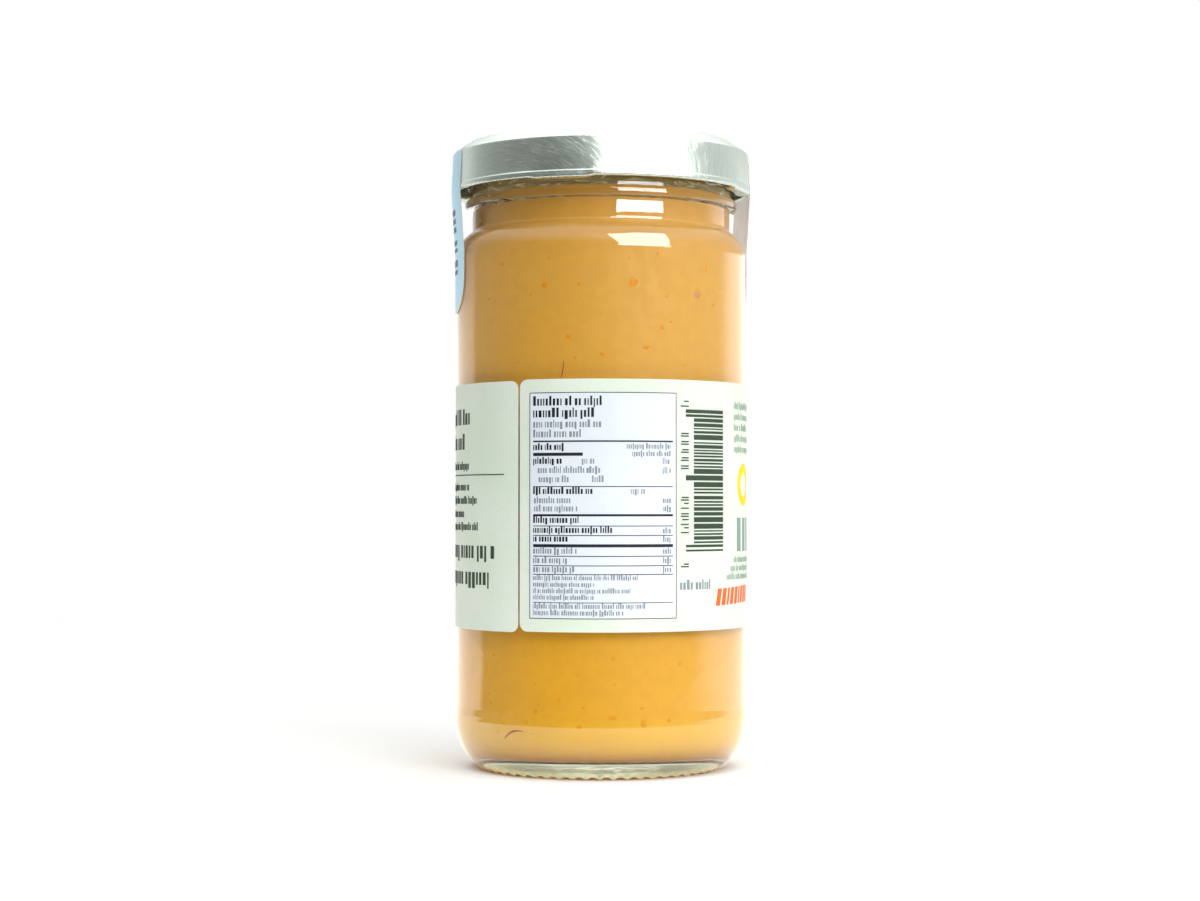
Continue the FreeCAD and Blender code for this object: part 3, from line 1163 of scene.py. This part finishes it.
def side_rows(bm, draw):
    """Dark green rows to the left of the seam, as their ends come into view round the jar."""
    for z, end, height in (
        (70.2, -32.1, 2.3),
        (65.2, -34.2, 2.3),
        (61.1, -31.7, 1.2),
        (56.9, -32.1, 1.15),
        (54.2, -29.2, 1.15),
        (51.5, -35.2, 1.15),
        (48.9, -28.5, 1.15),
    ):
        greeked_row(bm, draw, -62.0 + draw.uniform(0, 3), end, z, height)
    rule(bm, -58.0, -20.8, 60.0, 0.2)


def side_headline(bm, draw):
    """The two large dark rows at the foot of the left part."""
    for z, end in ((43.3, -22.7), (38.0, -23.9)):
        greeked_row(bm, draw, -66.0, end, z, 2.5)


def pale_rows(bm, draw):
    """Small pale green rows that lead round the right side."""
    for i in range(5):
        greeked_row(bm, draw, 33.1, 47.0 + draw.uniform(-4, 2), 73.4 - 2.2 * i, 1.05)
    for i in range(3):
        greeked_row(bm, draw, 33.0 - 1.6 * i, 50.0, 42.4 - 1.7 * i, 0.95)


def volume_blocks(bm):
    """Three tall grey-green blocks where a quantity stands."""
    for x in (34.6, 38.2, 41.8):
        slab(bm, x, x + 2.2, 44.6, 51.4, ink_height, ink_height)


def ring_marks(bm):
    """A yellow ring beside the bars, and a larger one on the side that faces away."""
    flat_ring(bm, 39.2, 58.1, 4.3, 2.4)
    flat_ring(bm, math.pi * label_outer, 61.0, 7.4, 4.6)


def date_dashes(bm):
    """Slanted orange-red dashes from a date stamp."""
    lean = Matrix.Identity(4)
    lean[0][2] = 0.22
    x = 25.9
    for i in range(9):
        width = 0.75 if i in (2, 5) else 1.35
        verts = slab(bm, 0, width, 0, 3.4, ink_height, ink_height)
        place = Matrix.Translation((x, 0, 33.9 + 0.05 * i))
        bmesh.ops.transform(bm, matrix=place @ lean, verts=verts)
        x += width + 0.55


def back_print(bm, draw):
    """The side that faces away: wide rows and two rules, above and below."""
    middle = math.pi * label_outer
    for i, (half, height) in enumerate(((15.0, 2.6), (12.0, 2.6), (9.0, 1.4), (11.0, 1.2))):
        greeked_row(bm, draw, middle - half, middle + half, 47.5 - 4.1 * i, height)
    rule(bm, middle - 17, middle + 17, 72.5, 0.3)
    rule(bm, middle - 17, middle + 17, 32.6, 0.3)


def strip_path(bm):
    """Half of the strip's line over the lid's edge and down to the glass, as a rounded wire."""
    leg = label_outer + strip_gap
    over = lid_top + strip_gap
    outside = [
        (mouth_radius, lid_top, lid_ring_edge),
        (finish_radius - lid_ring_inset, lid_top, lid_ring_edge),
        (skirt_top_radius, lid_top - shoulder_fall, skirt_edge),
        (skirt_bottom_radius, curl_height, 0),
    ]
    over_lid = beside(outside, -strip_gap)[1:3]
    rounded_wire(
        bm,
        [
            (0, over, 0),
            *over_lid,
            (curl_outer + strip_gap, curl_height, strip_bend),
            (leg, jar_height - strip_pinch_drop, shoulder_curve),
            (leg, strip_low.z, 0),
        ],
    )
    split_long(bm, 1.2)


def strip_sheet(columns=24):
    """The seal strip: its line carried across its width, curved to the jar, with half-round ends."""
    bm = bmesh.new()
    strip_path(bm)
    half = strip_width / 2
    edges = bm.edges[:]
    bmesh.ops.translate(bm, vec=(0, -half, 0), verts=bm.verts)
    for _ in range(columns):
        grown = bmesh.ops.extrude_edge_only(bm, edges=edges)["geom"]
        edges = of_kind(grown, bmesh.types.BMEdge)
        verts = of_kind(grown, bmesh.types.BMVert)
        bmesh.ops.translate(bm, vec=(0, strip_width / columns, 0), verts=verts)
    tail_start = strip_low.z + strip_width
    for vert in bm.verts:
        side = min(abs(vert.co.y), half)
        if vert.co.z < tail_start:
            end = strip_low.z + half - math.sqrt(half * half - side * side)
            down = (tail_start - vert.co.z) / (tail_start - strip_low.z)
            vert.co.z = tail_start - down * (tail_start - end)
        curve = fade(vert.co.x, 15, 26)
        if curve > 0:
            vert.co.x -= curve * (vert.co.x - math.sqrt(vert.co.x**2 - side * side))
    bmesh.ops.mirror(bm, geom=bm.verts[:] + bm.edges[:] + bm.faces[:], axis="X", merge_dist=0.01)
    bmesh.ops.remove_doubles(bm, verts=bm.verts, dist=0.001)
    bmesh.ops.recalc_face_normals(bm, faces=bm.faces)
    if max(bm.faces, key=lambda face: face.calc_center_median().z).normal.z < 0:
        bmesh.ops.reverse_faces(bm, faces=bm.faces)
    bmesh.ops.solidify(bm, geom=bm.faces[:], thickness=-strip_thickness)
    bmesh.ops.recalc_face_normals(bm, faces=bm.faces)
    for face in bm.faces:
        centre = face.calc_center_median()
        outward = Vector((centre.x, 0, 0)) if centre.z < lid_top - 0.4 else Vector((centre.x * 0.02, 0, 1))
        face.material_index = 0 if face.normal.dot(outward) > 0 else 1
    bmesh.ops.rotate(bm, cent=(0, 0, 0), matrix=Matrix.Rotation(strip_turn, 3, "Z"), verts=bm.verts)
    return bm


def seal_marks(bm, draw):
    """A column of small dark dashes down the left leg of the strip, where it hangs from the lid's edge."""
    line = bmesh.new()
    strip_path(line)
    leg = sorted((vert.co.z, vert.co.x) for vert in line.verts if vert.co.x > neck_radius)
    line.free()
    z = strip_low.z + 8.0
    while z < curl_height - 3:
        tall = draw.uniform(0.7, 1.4)
        slab(bm, draw.uniform(-2.6, -1.8), 2.2, z, z + tall, ink_height, ink_height)
        z += tall + draw.choice((0.7, 0.7, 1.7))
    creased(bm, 0.8)
    for vert in bm.verts:
        below = max(point for point in leg if point[0] <= vert.co.z)
        above = min(point for point in leg if point[0] >= vert.co.z)
        share = (vert.co.z - below[0]) / max(above[0] - below[0], MERGE)
        reach = below[1] + share * (above[1] - below[1])
        side = vert.co.x
        vert.co.x = math.sqrt(reach * reach - side * side) + strip_thickness * 1.05 - vert.co.y
        vert.co.y = side
    turn = Matrix.Rotation(math.pi + strip_turn, 3, "Z")
    bmesh.ops.rotate(bm, cent=(0, 0, 0), matrix=turn, verts=bm.verts)
    bmesh.ops.recalc_face_normals(bm, faces=bm.faces)


# ---------------------------------------------------------------------------------------------------------
# Settings


def number_setting(name, description, default, **limits):
    """A plain number in the panel."""
    return bpy.props.FloatProperty(name=name, description=description, default=default, **limits)


def length_setting(name, description, default):
    """A length in the panel, in metres."""
    return number_setting(name, description, default, unit="LENGTH", precision=5)


def colour_setting(name, description, default):
    """A linear colour in the panel."""
    return bpy.props.FloatVectorProperty(
        name=name, description=description, default=default, size=4, subtype="COLOR", min=0, max=1
    )


class CreamJarContents(bpy.types.PropertyGroup):
    """Colours of the glass, and sizes and colours of what it holds."""

    glass: colour_setting("Glass", "Faint tint of the clear glass", (0.97, 0.992, 0.972, 1))
    ior: number_setting("IOR", "Refractive index of the glass", 1.52)
    golden: colour_setting("Golden", "Cream low in the jar", (0.79, 0.378, 0.014, 1))
    # Dull is also the painted shade that the cream turns to going up
    dull_and_top_shade: colour_setting("Dull", "Cream near the top", (0.74, 0.375, 0.055, 1))
    film: colour_setting("Film", "Dried smear above the fill", (0.46, 0.30, 0.11, 1))
    # The crinkle colour is a painted glint on the ridges of the smear's folds
    crinkle: colour_setting("Crinkle", "Folds of the dried smear", (0.95, 0.80, 0.42, 1))
    wall_reach: length_setting("Wall reach", "How far the contents reach into the wall", 0.12 * MM)
    top_wave: length_setting("Top wave", "Unevenness of the top of the contents", 0.9 * MM)
    specks: bpy.props.IntProperty(
        name="Specks", description="Small bits of fruit all round", default=110, min=0
    )


class CreamJarLid(bpy.types.PropertyGroup):
    """Finish of the lid."""

    # This tinplate colour's green cast is partly a painted reflection of the greener room on the left
    tinplate_with_painted_green: colour_setting("Metal", "Tinplate", (0.755, 0.85, 0.77, 1))
    roughness: number_setting("Roughness", "How satin the lid is", 0.28, min=0, max=1, subtype="FACTOR")


class CreamJarPaper(bpy.types.PropertyGroup):
    """Papers and inks."""

    label: colour_setting("Label", "Label paper", srgb(237, 246, 233))
    label_shade: colour_setting("Label shade", "Darker clouds in the label paper", srgb(229, 242, 223))
    panel: colour_setting("Panel", "Field behind the table", srgb(238, 245, 252))
    dark: colour_setting("Dark ink", "Bold print of the table", srgb(42, 44, 56))
    grey: colour_setting("Grey ink", "Small print of the table", srgb(150, 158, 172))
    green: colour_setting("Green ink", "Large rows and bars", srgb(68, 84, 70))
    pale: colour_setting("Pale ink", "Small rows round the right side", srgb(168, 188, 172))
    yellow: colour_setting("Yellow ink", "Ring", srgb(250, 226, 10))
    orange: colour_setting("Orange ink", "Stamped dashes", srgb(252, 118, 64))
    strip: colour_setting("Strip", "Outer face of the seal strip", srgb(186, 234, 255))
    strip_back: colour_setting("Strip back", "Inner face of the seal strip", srgb(228, 224, 218))
    seal_ink: colour_setting("Seal ink", "Dashes on the seal strip", srgb(124, 150, 164))


class CreamJarStage(bpy.types.PropertyGroup):
    """Light and table."""

    key_power: number_setting("Key", "Power of the soft key lamp", 4.7, min=0, unit="POWER")
    room: number_setting("Room", "Level of the room's light", 1.0, min=0)
    ceiling: number_setting("Ceiling", "Level of the light from above", 1.15, min=0)
    gleam: number_setting("Gleam", "How much brighter the backdrop is in reflections", 2.2, min=1)
    highlight: number_setting("Highlight", "Power of the reflected lamps", 17.0, min=0, unit="POWER")
    table_white: number_setting("Table", "How much the table is lifted towards white", 1.14, min=1)
    floor_radius: length_setting("Floor radius", "Half the width of the white table", 0.42)
    floor_front: length_setting("Floor front", "How far the table reaches in front of the jar", 0.175)


# ---------------------------------------------------------------------------------------------------------
# Operators


class CREAMJAR_OT_glass(bpy.types.Operator):
    """Make the clear jar with its notched foot, bead, threads and mould seam"""

    bl_idname = "creamjar.glass"
    bl_label = "Clear jar"

    def execute(self, context):
        look = context.scene.creamjar_contents
        bm = spun(glass_corners(), GLASS_STEPS)
        raise_mould_seam(bm)
        cut_foot_notches(bm)
        raise_threads(bm)
        glass = glass_material(look.glass, look.ior)
        finished("clear_jar", bm, [glass], ["jar_glass"], sharp=math.radians(60))
        return {"FINISHED"}


class CREAMJAR_OT_contents(bpy.types.Operator):
    """Fill the jar with cream that reaches into its wall, and smear some above the fill"""

    bl_idname = "creamjar.contents"
    bl_label = "Apple cream"

    def execute(self, context):
        look = context.scene.creamjar_contents
        bm = spun(cream_corners(look.wall_reach / MM), ROUND_STEPS)
        unsettle_top(bm, look.top_wave / MM)
        cream = cream_material(look.golden, look.dull_and_top_shade)
        finished("cream_fill", bm, [cream], ["apple_cream"])
        bm = bmesh.new()
        film_ring(bm, look.wall_reach / MM)
        finished("cream_film", bm, [film_material(look.film, look.crinkle)])
        return {"FINISHED"}


class CREAMJAR_OT_fruit(bpy.types.Operator):
    """Scatter specks and threads of fruit in the face of the cream"""

    bl_idname = "creamjar.fruit"
    bl_label = "Fruit bits"

    def execute(self, context):
        look = context.scene.creamjar_contents
        draw = random.Random(5)
        flesh = fruit_material("fruit_flesh", srgb(230, 150, 0), srgb(222, 142, 0), (0.98, 1.04, 1, 1))
        bm = bmesh.new()
        self.specks(bm, look.specks, draw)
        self.sink("fruit_specks", bm, look, flesh)
        bruise = fruit_material("bruised_flesh", srgb(214, 150, 92), srgb(198, 134, 88))
        bm = bmesh.new()
        self.bruises(bm)
        self.sink("fruit_bruises", bm, look, bruise)
        skin = fruit_material("fruit_skin", srgb(186, 70, 18), srgb(160, 54, 18))
        bm = bmesh.new()
        self.fibres(bm, draw)
        self.sink("fruit_fibres", bm, look, skin, outwards=True)
        return {"FINISHED"}

    def sink(self, name, bm, look, material, outwards=False):
        """Wraps one kind of fruit bit into the face of the contents, turning its faces outwards if asked."""
        wrapped(bm, body_radius - wall + look.wall_reach / MM)
        if outwards:
            bmesh.ops.recalc_face_normals(bm, faces=bm.faces)
        finished(name, bm, [material])

    def specks(self, bm, count, draw):
        """Specks that stand out at the front, by degrees, height, width and length, and others all round."""
        for angle, height, width, tall in (
            (-23, 97.2, 1.3, 1.0),
            (13, 97.7, 1.7, 1.8),
            (25, 89, 1.0, 1.2),
            (-13, 87, 1.0, 0.8),
            (0.5, 83.5, 0.9, 0.8),
            (18, 85, 1.4, 0.9),
            (47, 101, 0.5, 1.2),
            (51, 94, 0.7, 0.7),
            (-27, 13.5, 1.1, 1.0),
            (-8.5, 10.7, 1.2, 0.8),
            (4.5, 12.4, 1.6, 0.8),
            (17, 11.2, 1.1, 1.5),
            (28, 11.7, 0.8, 0.9),
            (5, 24, 0.9, 0.9),
            (33, 22.7, 0.9, 0.9),
        ):
            speck(bm, math.radians(angle), height, width, tall)
        for _ in range(count):
            size = draw.uniform(0.25, 0.75)
            angle = draw.uniform(-math.pi, math.pi)
            height = draw.choice((draw.uniform(8, 28), draw.uniform(80, 104)))
            speck(bm, angle, height, size * draw.uniform(0.7, 1.6), size, detail=1)

    def bruises(self, bm):
        """Larger pale brown bits, one at the front right and two further round."""
        for angle, height, width, tall in ((42, 95.8, 1.8, 1.6), (96, 88, 1.3, 1.1), (-150, 95, 1.2, 1.0)):
            speck(bm, math.radians(angle), height, width, tall)

    def fibres(self, bm, draw):
        """Two threads at the front, and others at the sides and behind."""
        fibre(bm, math.radians(-15.5), 80.5, 3.6, math.radians(9), 0.12, 0.24)
        fibre(bm, math.radians(-37), 8.7, 4.8, math.radians(72), -0.7, 0.36)
        for _ in range(9):
            angle = math.radians(draw.uniform(70, 300))
            height = draw.uniform(8, 100)
            length = draw.uniform(2, 4.5)
            lean = draw.uniform(-1.4, 1.4)
            fibre(bm, angle, height, length, lean, draw.uniform(-0.8, 0.8))


class CREAMJAR_OT_lid(bpy.types.Operator):
    """Press the silver lid with its button, curl and four lugs"""

    bl_idname = "creamjar.lid"
    bl_label = "Lug lid"

    def execute(self, context):
        look = context.scene.creamjar_lid
        bm = spun(lid_corners(), ROUND_STEPS)
        press_lugs(bm)
        lay_flat_layout(bm)
        finished("lug_lid", bm, [lid_material(look.tinplate_with_painted_green, look.roughness)], ["lid"])
        return {"FINISHED"}


class CREAMJAR_OT_label(bpy.types.Operator):
    """Wrap the paper label round the body"""

    bl_idname = "creamjar.label"
    bl_label = "Paper label"

    def execute(self, context):
        look = context.scene.creamjar_paper
        bm = label_sheet()
        wrapped(bm, label_inner)
        paper = paper_material("label_paper", look.label, look.label_shade)
        finished("paper_label", bm, [paper], ["label"])
        return {"FINISHED"}


class CREAMJAR_OT_print(bpy.types.Operator):
    """Print the label with plain fields, rules, bars and rows of blocks"""

    bl_idname = "creamjar.print"
    bl_label = "Label print"

    def execute(self, context):
        look = context.scene.creamjar_paper
        draw = random.Random(11)
        self.lay("print_panel", look.panel, facts_field)
        self.lay("print_table", look.dark, lambda bm: facts_print(bm, draw))
        self.lay("print_small_rows", look.grey, lambda bm: facts_small_print(bm, draw))
        self.lay("print_green", look.green, lambda bm: self.green_print(bm, draw))
        self.lay("print_pale", look.pale, lambda bm: pale_rows(bm, draw))
        self.lay("print_side_rows", srgb(62, 80, 68), lambda bm: side_rows(bm, draw))
        self.lay("print_blocks", srgb(150, 172, 160), volume_blocks)
        self.lay("print_yellow", look.yellow, ring_marks)
        self.lay("print_orange", look.orange, date_dashes)
        return {"FINISHED"}

    def green_print(self, bm, draw):
        """All that the green ink prints."""
        side_headline(bm, draw)
        stock_bars(bm, draw)
        back_print(bm, draw)

    def lay(self, name, colour, make):
        """One ink: its flat shapes cut fine enough to bend, wrapped on the label's face."""
        bm = bmesh.new()
        make(bm)
        creased(bm, 1.1)
        wrapped(bm, label_outer)
        bmesh.ops.recalc_face_normals(bm, faces=bm.faces)
        shade = shaded(colour, 0.97 if name == "print_panel" else 0.85)
        ink = paper_material(name + "_ink", colour, shade, roughness=0.5)
        finished(name, bm, [ink], sharp=math.radians(30))


class CREAMJAR_OT_strip(bpy.types.Operator):
    """Lay the pale blue seal strip over the lid and down both sides"""

    bl_idname = "creamjar.strip"
    bl_label = "Seal strip"

    def execute(self, context):
        look = context.scene.creamjar_paper
        bm = strip_sheet()
        outer = paper_material(
            "strip_paper",
            look.strip,
            shaded(look.strip, 0.9),
            roughness=0.45,
            see_through=1.0,
            depth=0.0005,
            gloss=0.3,
            sheen=0.6,
            # Strength of the painted blue glow
            painted_glow=0.16,
        )
        inner = paper_material(
            "strip_paper_back", look.strip_back, shaded(look.strip_back, 0.85), see_through=1.0
        )
        finished("paper_seal", bm, [outer, inner], ["seal_strip"])
        bm = bmesh.new()
        seal_marks(bm, random.Random(3))
        ink = paper_material("seal_ink", look.seal_ink, shaded(look.seal_ink, 0.85))
        finished("seal_marks", bm, [ink])
        return {"FINISHED"}


class CREAMJAR_OT_stage(bpy.types.Operator):
    """Set up the white table, the soft light and the camera"""

    bl_idname = "creamjar.stage"
    bl_label = "Stage"

    def execute(self, context):
        look = context.scene.creamjar_stage
        self.lay_table(look)
        self.light_room(context, look)
        self.hang_lamp("soft_key", look.key_power, 6, 34, 44).visible_glossy = False
        self.hang_lamp("shoulder_glint", look.highlight * 1.2, 9.6, 50, 42).visible_diffuse = False
        for name, turn in (("left", -14), ("middle", 0), ("right", 14)):
            glint = self.hang_lamp("neck_glint_" + name, look.highlight * 0.03, 7.3, 9.3, 14, turn)
            glint.visible_diffuse = False
        self.place_camera(context)
        context.scene.view_settings.view_transform = "Standard"
        return {"FINISHED"}

    def lay_table(self, look):
        """A round white table top, set back so that it ends close in front of the jar."""
        bm = bmesh.new()
        middle = Matrix.Translation((0, look.floor_radius - look.floor_front, 0))
        bmesh.ops.create_circle(bm, cap_ends=True, radius=look.floor_radius, segments=96, matrix=middle)
        mesh = bpy.data.meshes.new("white_table")
        bm.to_mesh(mesh)
        bm.free()
        mesh.materials.append(floor_material(look.table_white, look.gleam))
        table = bpy.data.objects.new("white_table", mesh)
        bpy.context.scene.collection.objects.link(table)

    def light_room(self, context, look):
        """A pale room: white behind the jar, dim in front where the camera stands, lighter on the right."""
        world = bpy.data.worlds.new("pale_room")
        context.scene.world = world
        world.use_nodes = True
        tree = world.node_tree
        tree.nodes.clear()
        way = tree.nodes.new("ShaderNodeTexCoord").outputs["Generated"]
        parts = add(tree, "ShaderNodeSeparateXYZ", {0: way}).outputs
        toward = maths(tree, "MULTIPLY", parts["Y"], -1.0)
        round_room = maths(tree, "ARCTAN2", parts["X"], toward)
        share = maths(tree, "ADD", maths(tree, "DIVIDE", round_room, FULL_TURN), 0.5)
        ramp = add(tree, "ShaderNodeValToRGB", {0: share})
        stops = (
            (-180, 1.0),
            (-126, 1.0),
            (-120, 0.5),
            (-86, 0.25),
            (-32, 0.14),
            (5, 0.2),
            (62, 0.5),
            (96, 0.58),
            (118, 0.7),
            (124, 1.0),
            (180, 1.0),
        )
        elements = ramp.color_ramp.elements
        while len(elements) < len(stops):
            elements.new(0.5)
        for element, (degrees, level) in zip(elements, stops):
            element.position = degrees / 360 + 0.5
            element.color = (level, level, level * 0.99, 1)

        def across(left, right):
            """A level that changes from the room's left to its right."""
            return spread(tree, parts["X"], -0.3, 0.3, left, right)

        path = tree.nodes.new("ShaderNodeLightPath").outputs
        turned = maths(tree, "ABSOLUTE", maths(tree, "SUBTRACT", share, 0.5))
        painted_golden_foot = across(0.033, 0.08)
        downward = spread(tree, parts["Z"], -0.04, 0.03, painted_golden_foot, 0.0)
        behind = spread(tree, maths(tree, "ADD", turned, downward), across(0.32, 0.285), across(0.345, 0.35))
        sharp = maths(tree, "MULTIPLY", path["Is Singular Ray"], look.gleam - 1)
        most = maths(tree, "MULTIPLY", maths(tree, "ADD", sharp, 1.0), across(0.84, 1.04))
        backdrop = grey(tree, spread(tree, parts["Z"], across(0.03, 0.11), 0.155, most, 0.75))
        mirrored = maths(tree, "MULTIPLY", behind, path["Is Glossy Ray"])
        walls = blended(tree, mirrored, ramp.outputs["Color"], backdrop)
        overhead = spread(tree, parts["Z"], 0.35, 0.75)
        above = maths(tree, "ADD", look.ceiling, maths(tree, "MULTIPLY", path["Is Glossy Ray"], 0.4))
        lit = blended(tree, overhead, walls, grey(tree, above))
        plain = maths(tree, "MAXIMUM", path["Is Camera Ray"], path["Is Transmission Ray"])
        colour = blended(tree, plain, lit, (1.0, 1.0, 1.0, 1))
        room = add(tree, "ShaderNodeBackground", {"Color": colour, "Strength": look.room})
        output = tree.nodes.new("ShaderNodeOutputWorld")
        tree.links.new(room.outputs[0], output.inputs["Surface"])

    def hang_lamp(self, name, power, low, high, width, aside=0):
        """A soft box in front to the right, between two elevations as the neck of the jar sees them."""
        distance = 0.9
        turn = math.radians(34.5 + aside)
        lift = math.radians((low + high) / 2)
        level = Vector((math.sin(turn), -math.cos(turn), 0)) * math.cos(lift)
        aim = Vector((0, 0, neck_start * MM))
        lamp = bpy.data.lights.new(name, "AREA")
        lamp.shape = "RECTANGLE"
        lamp.size = 2 * distance * math.tan(math.radians(width / 2))
        lamp.size_y = 2 * distance * math.tan(math.radians((high - low) / 2))
        lamp.energy = power
        holder = bpy.data.objects.new(name, lamp)
        holder.location = aim + distance * (level + Vector((0, 0, math.sin(lift))))
        holder.rotation_euler = (holder.location - aim).to_track_quat("Z", "Y").to_euler()
        holder.visible_camera = False
        holder.visible_transmission = False
        bpy.context.scene.collection.objects.link(holder)
        return holder

    def place_camera(self, context):
        """At the height of the label's middle, looking a touch upwards."""
        lens = bpy.data.cameras.new("camera")
        lens.lens = 68.24
        lens.sensor_width = 36
        camera = bpy.data.objects.new("camera", lens)
        camera.location = (-0.0002, -0.47287, 0.05362)
        camera.rotation_euler = (math.pi / 2 + 0.0247, 0, 0)
        context.scene.collection.objects.link(camera)
        context.scene.camera = camera


class CREAMJAR_PT_panel(bpy.types.Panel):
    """Lists the jar's pieces and settings"""

    bl_idname = "CREAMJAR_PT_panel"
    bl_label = "Apple Cream Jar"
    bl_space_type = "VIEW_3D"
    bl_region_type = "UI"
    bl_category = "Cream Jar"

    def draw(self, context):
        for operator in OPERATORS:
            self.layout.operator(operator.bl_idname)
        for name in SETTINGS:
            group = getattr(context.scene, name)
            box = self.layout.box()
            for key in group.bl_rna.properties.keys():
                if key not in ("rna_type", "name"):
                    box.prop(group, key)


OPERATORS = (
    CREAMJAR_OT_glass,
    CREAMJAR_OT_contents,
    CREAMJAR_OT_fruit,
    CREAMJAR_OT_lid,
    CREAMJAR_OT_label,
    CREAMJAR_OT_print,
    CREAMJAR_OT_strip,
    CREAMJAR_OT_stage,
)
SETTINGS = {
    "creamjar_contents": CreamJarContents,
    "creamjar_lid": CreamJarLid,
    "creamjar_paper": CreamJarPaper,
    "creamjar_stage": CreamJarStage,
}


def register():
    """Adds the settings, the operators and the panel."""
    for kind in (*SETTINGS.values(), *OPERATORS, CREAMJAR_PT_panel):
        bpy.utils.register_class(kind)
    for name, kind in SETTINGS.items():
        setattr(bpy.types.Scene, name, bpy.props.PointerProperty(type=kind))


def unregister():
    """Takes them away again."""
    for name in SETTINGS:
        delattr(bpy.types.Scene, name)
    for kind in reversed((*SETTINGS.values(), *OPERATORS, CREAMJAR_PT_panel)):
        bpy.utils.unregister_class(kind)


def main():
    """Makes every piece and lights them."""
    register()
    bpy.ops.creamjar.glass()
    bpy.ops.creamjar.contents()
    bpy.ops.creamjar.fruit()
    bpy.ops.creamjar.lid()
    bpy.ops.creamjar.label()
    bpy.ops.creamjar.print()
    bpy.ops.creamjar.strip()
    bpy.ops.creamjar.stage()


if __name__ == "__main__":
    main()
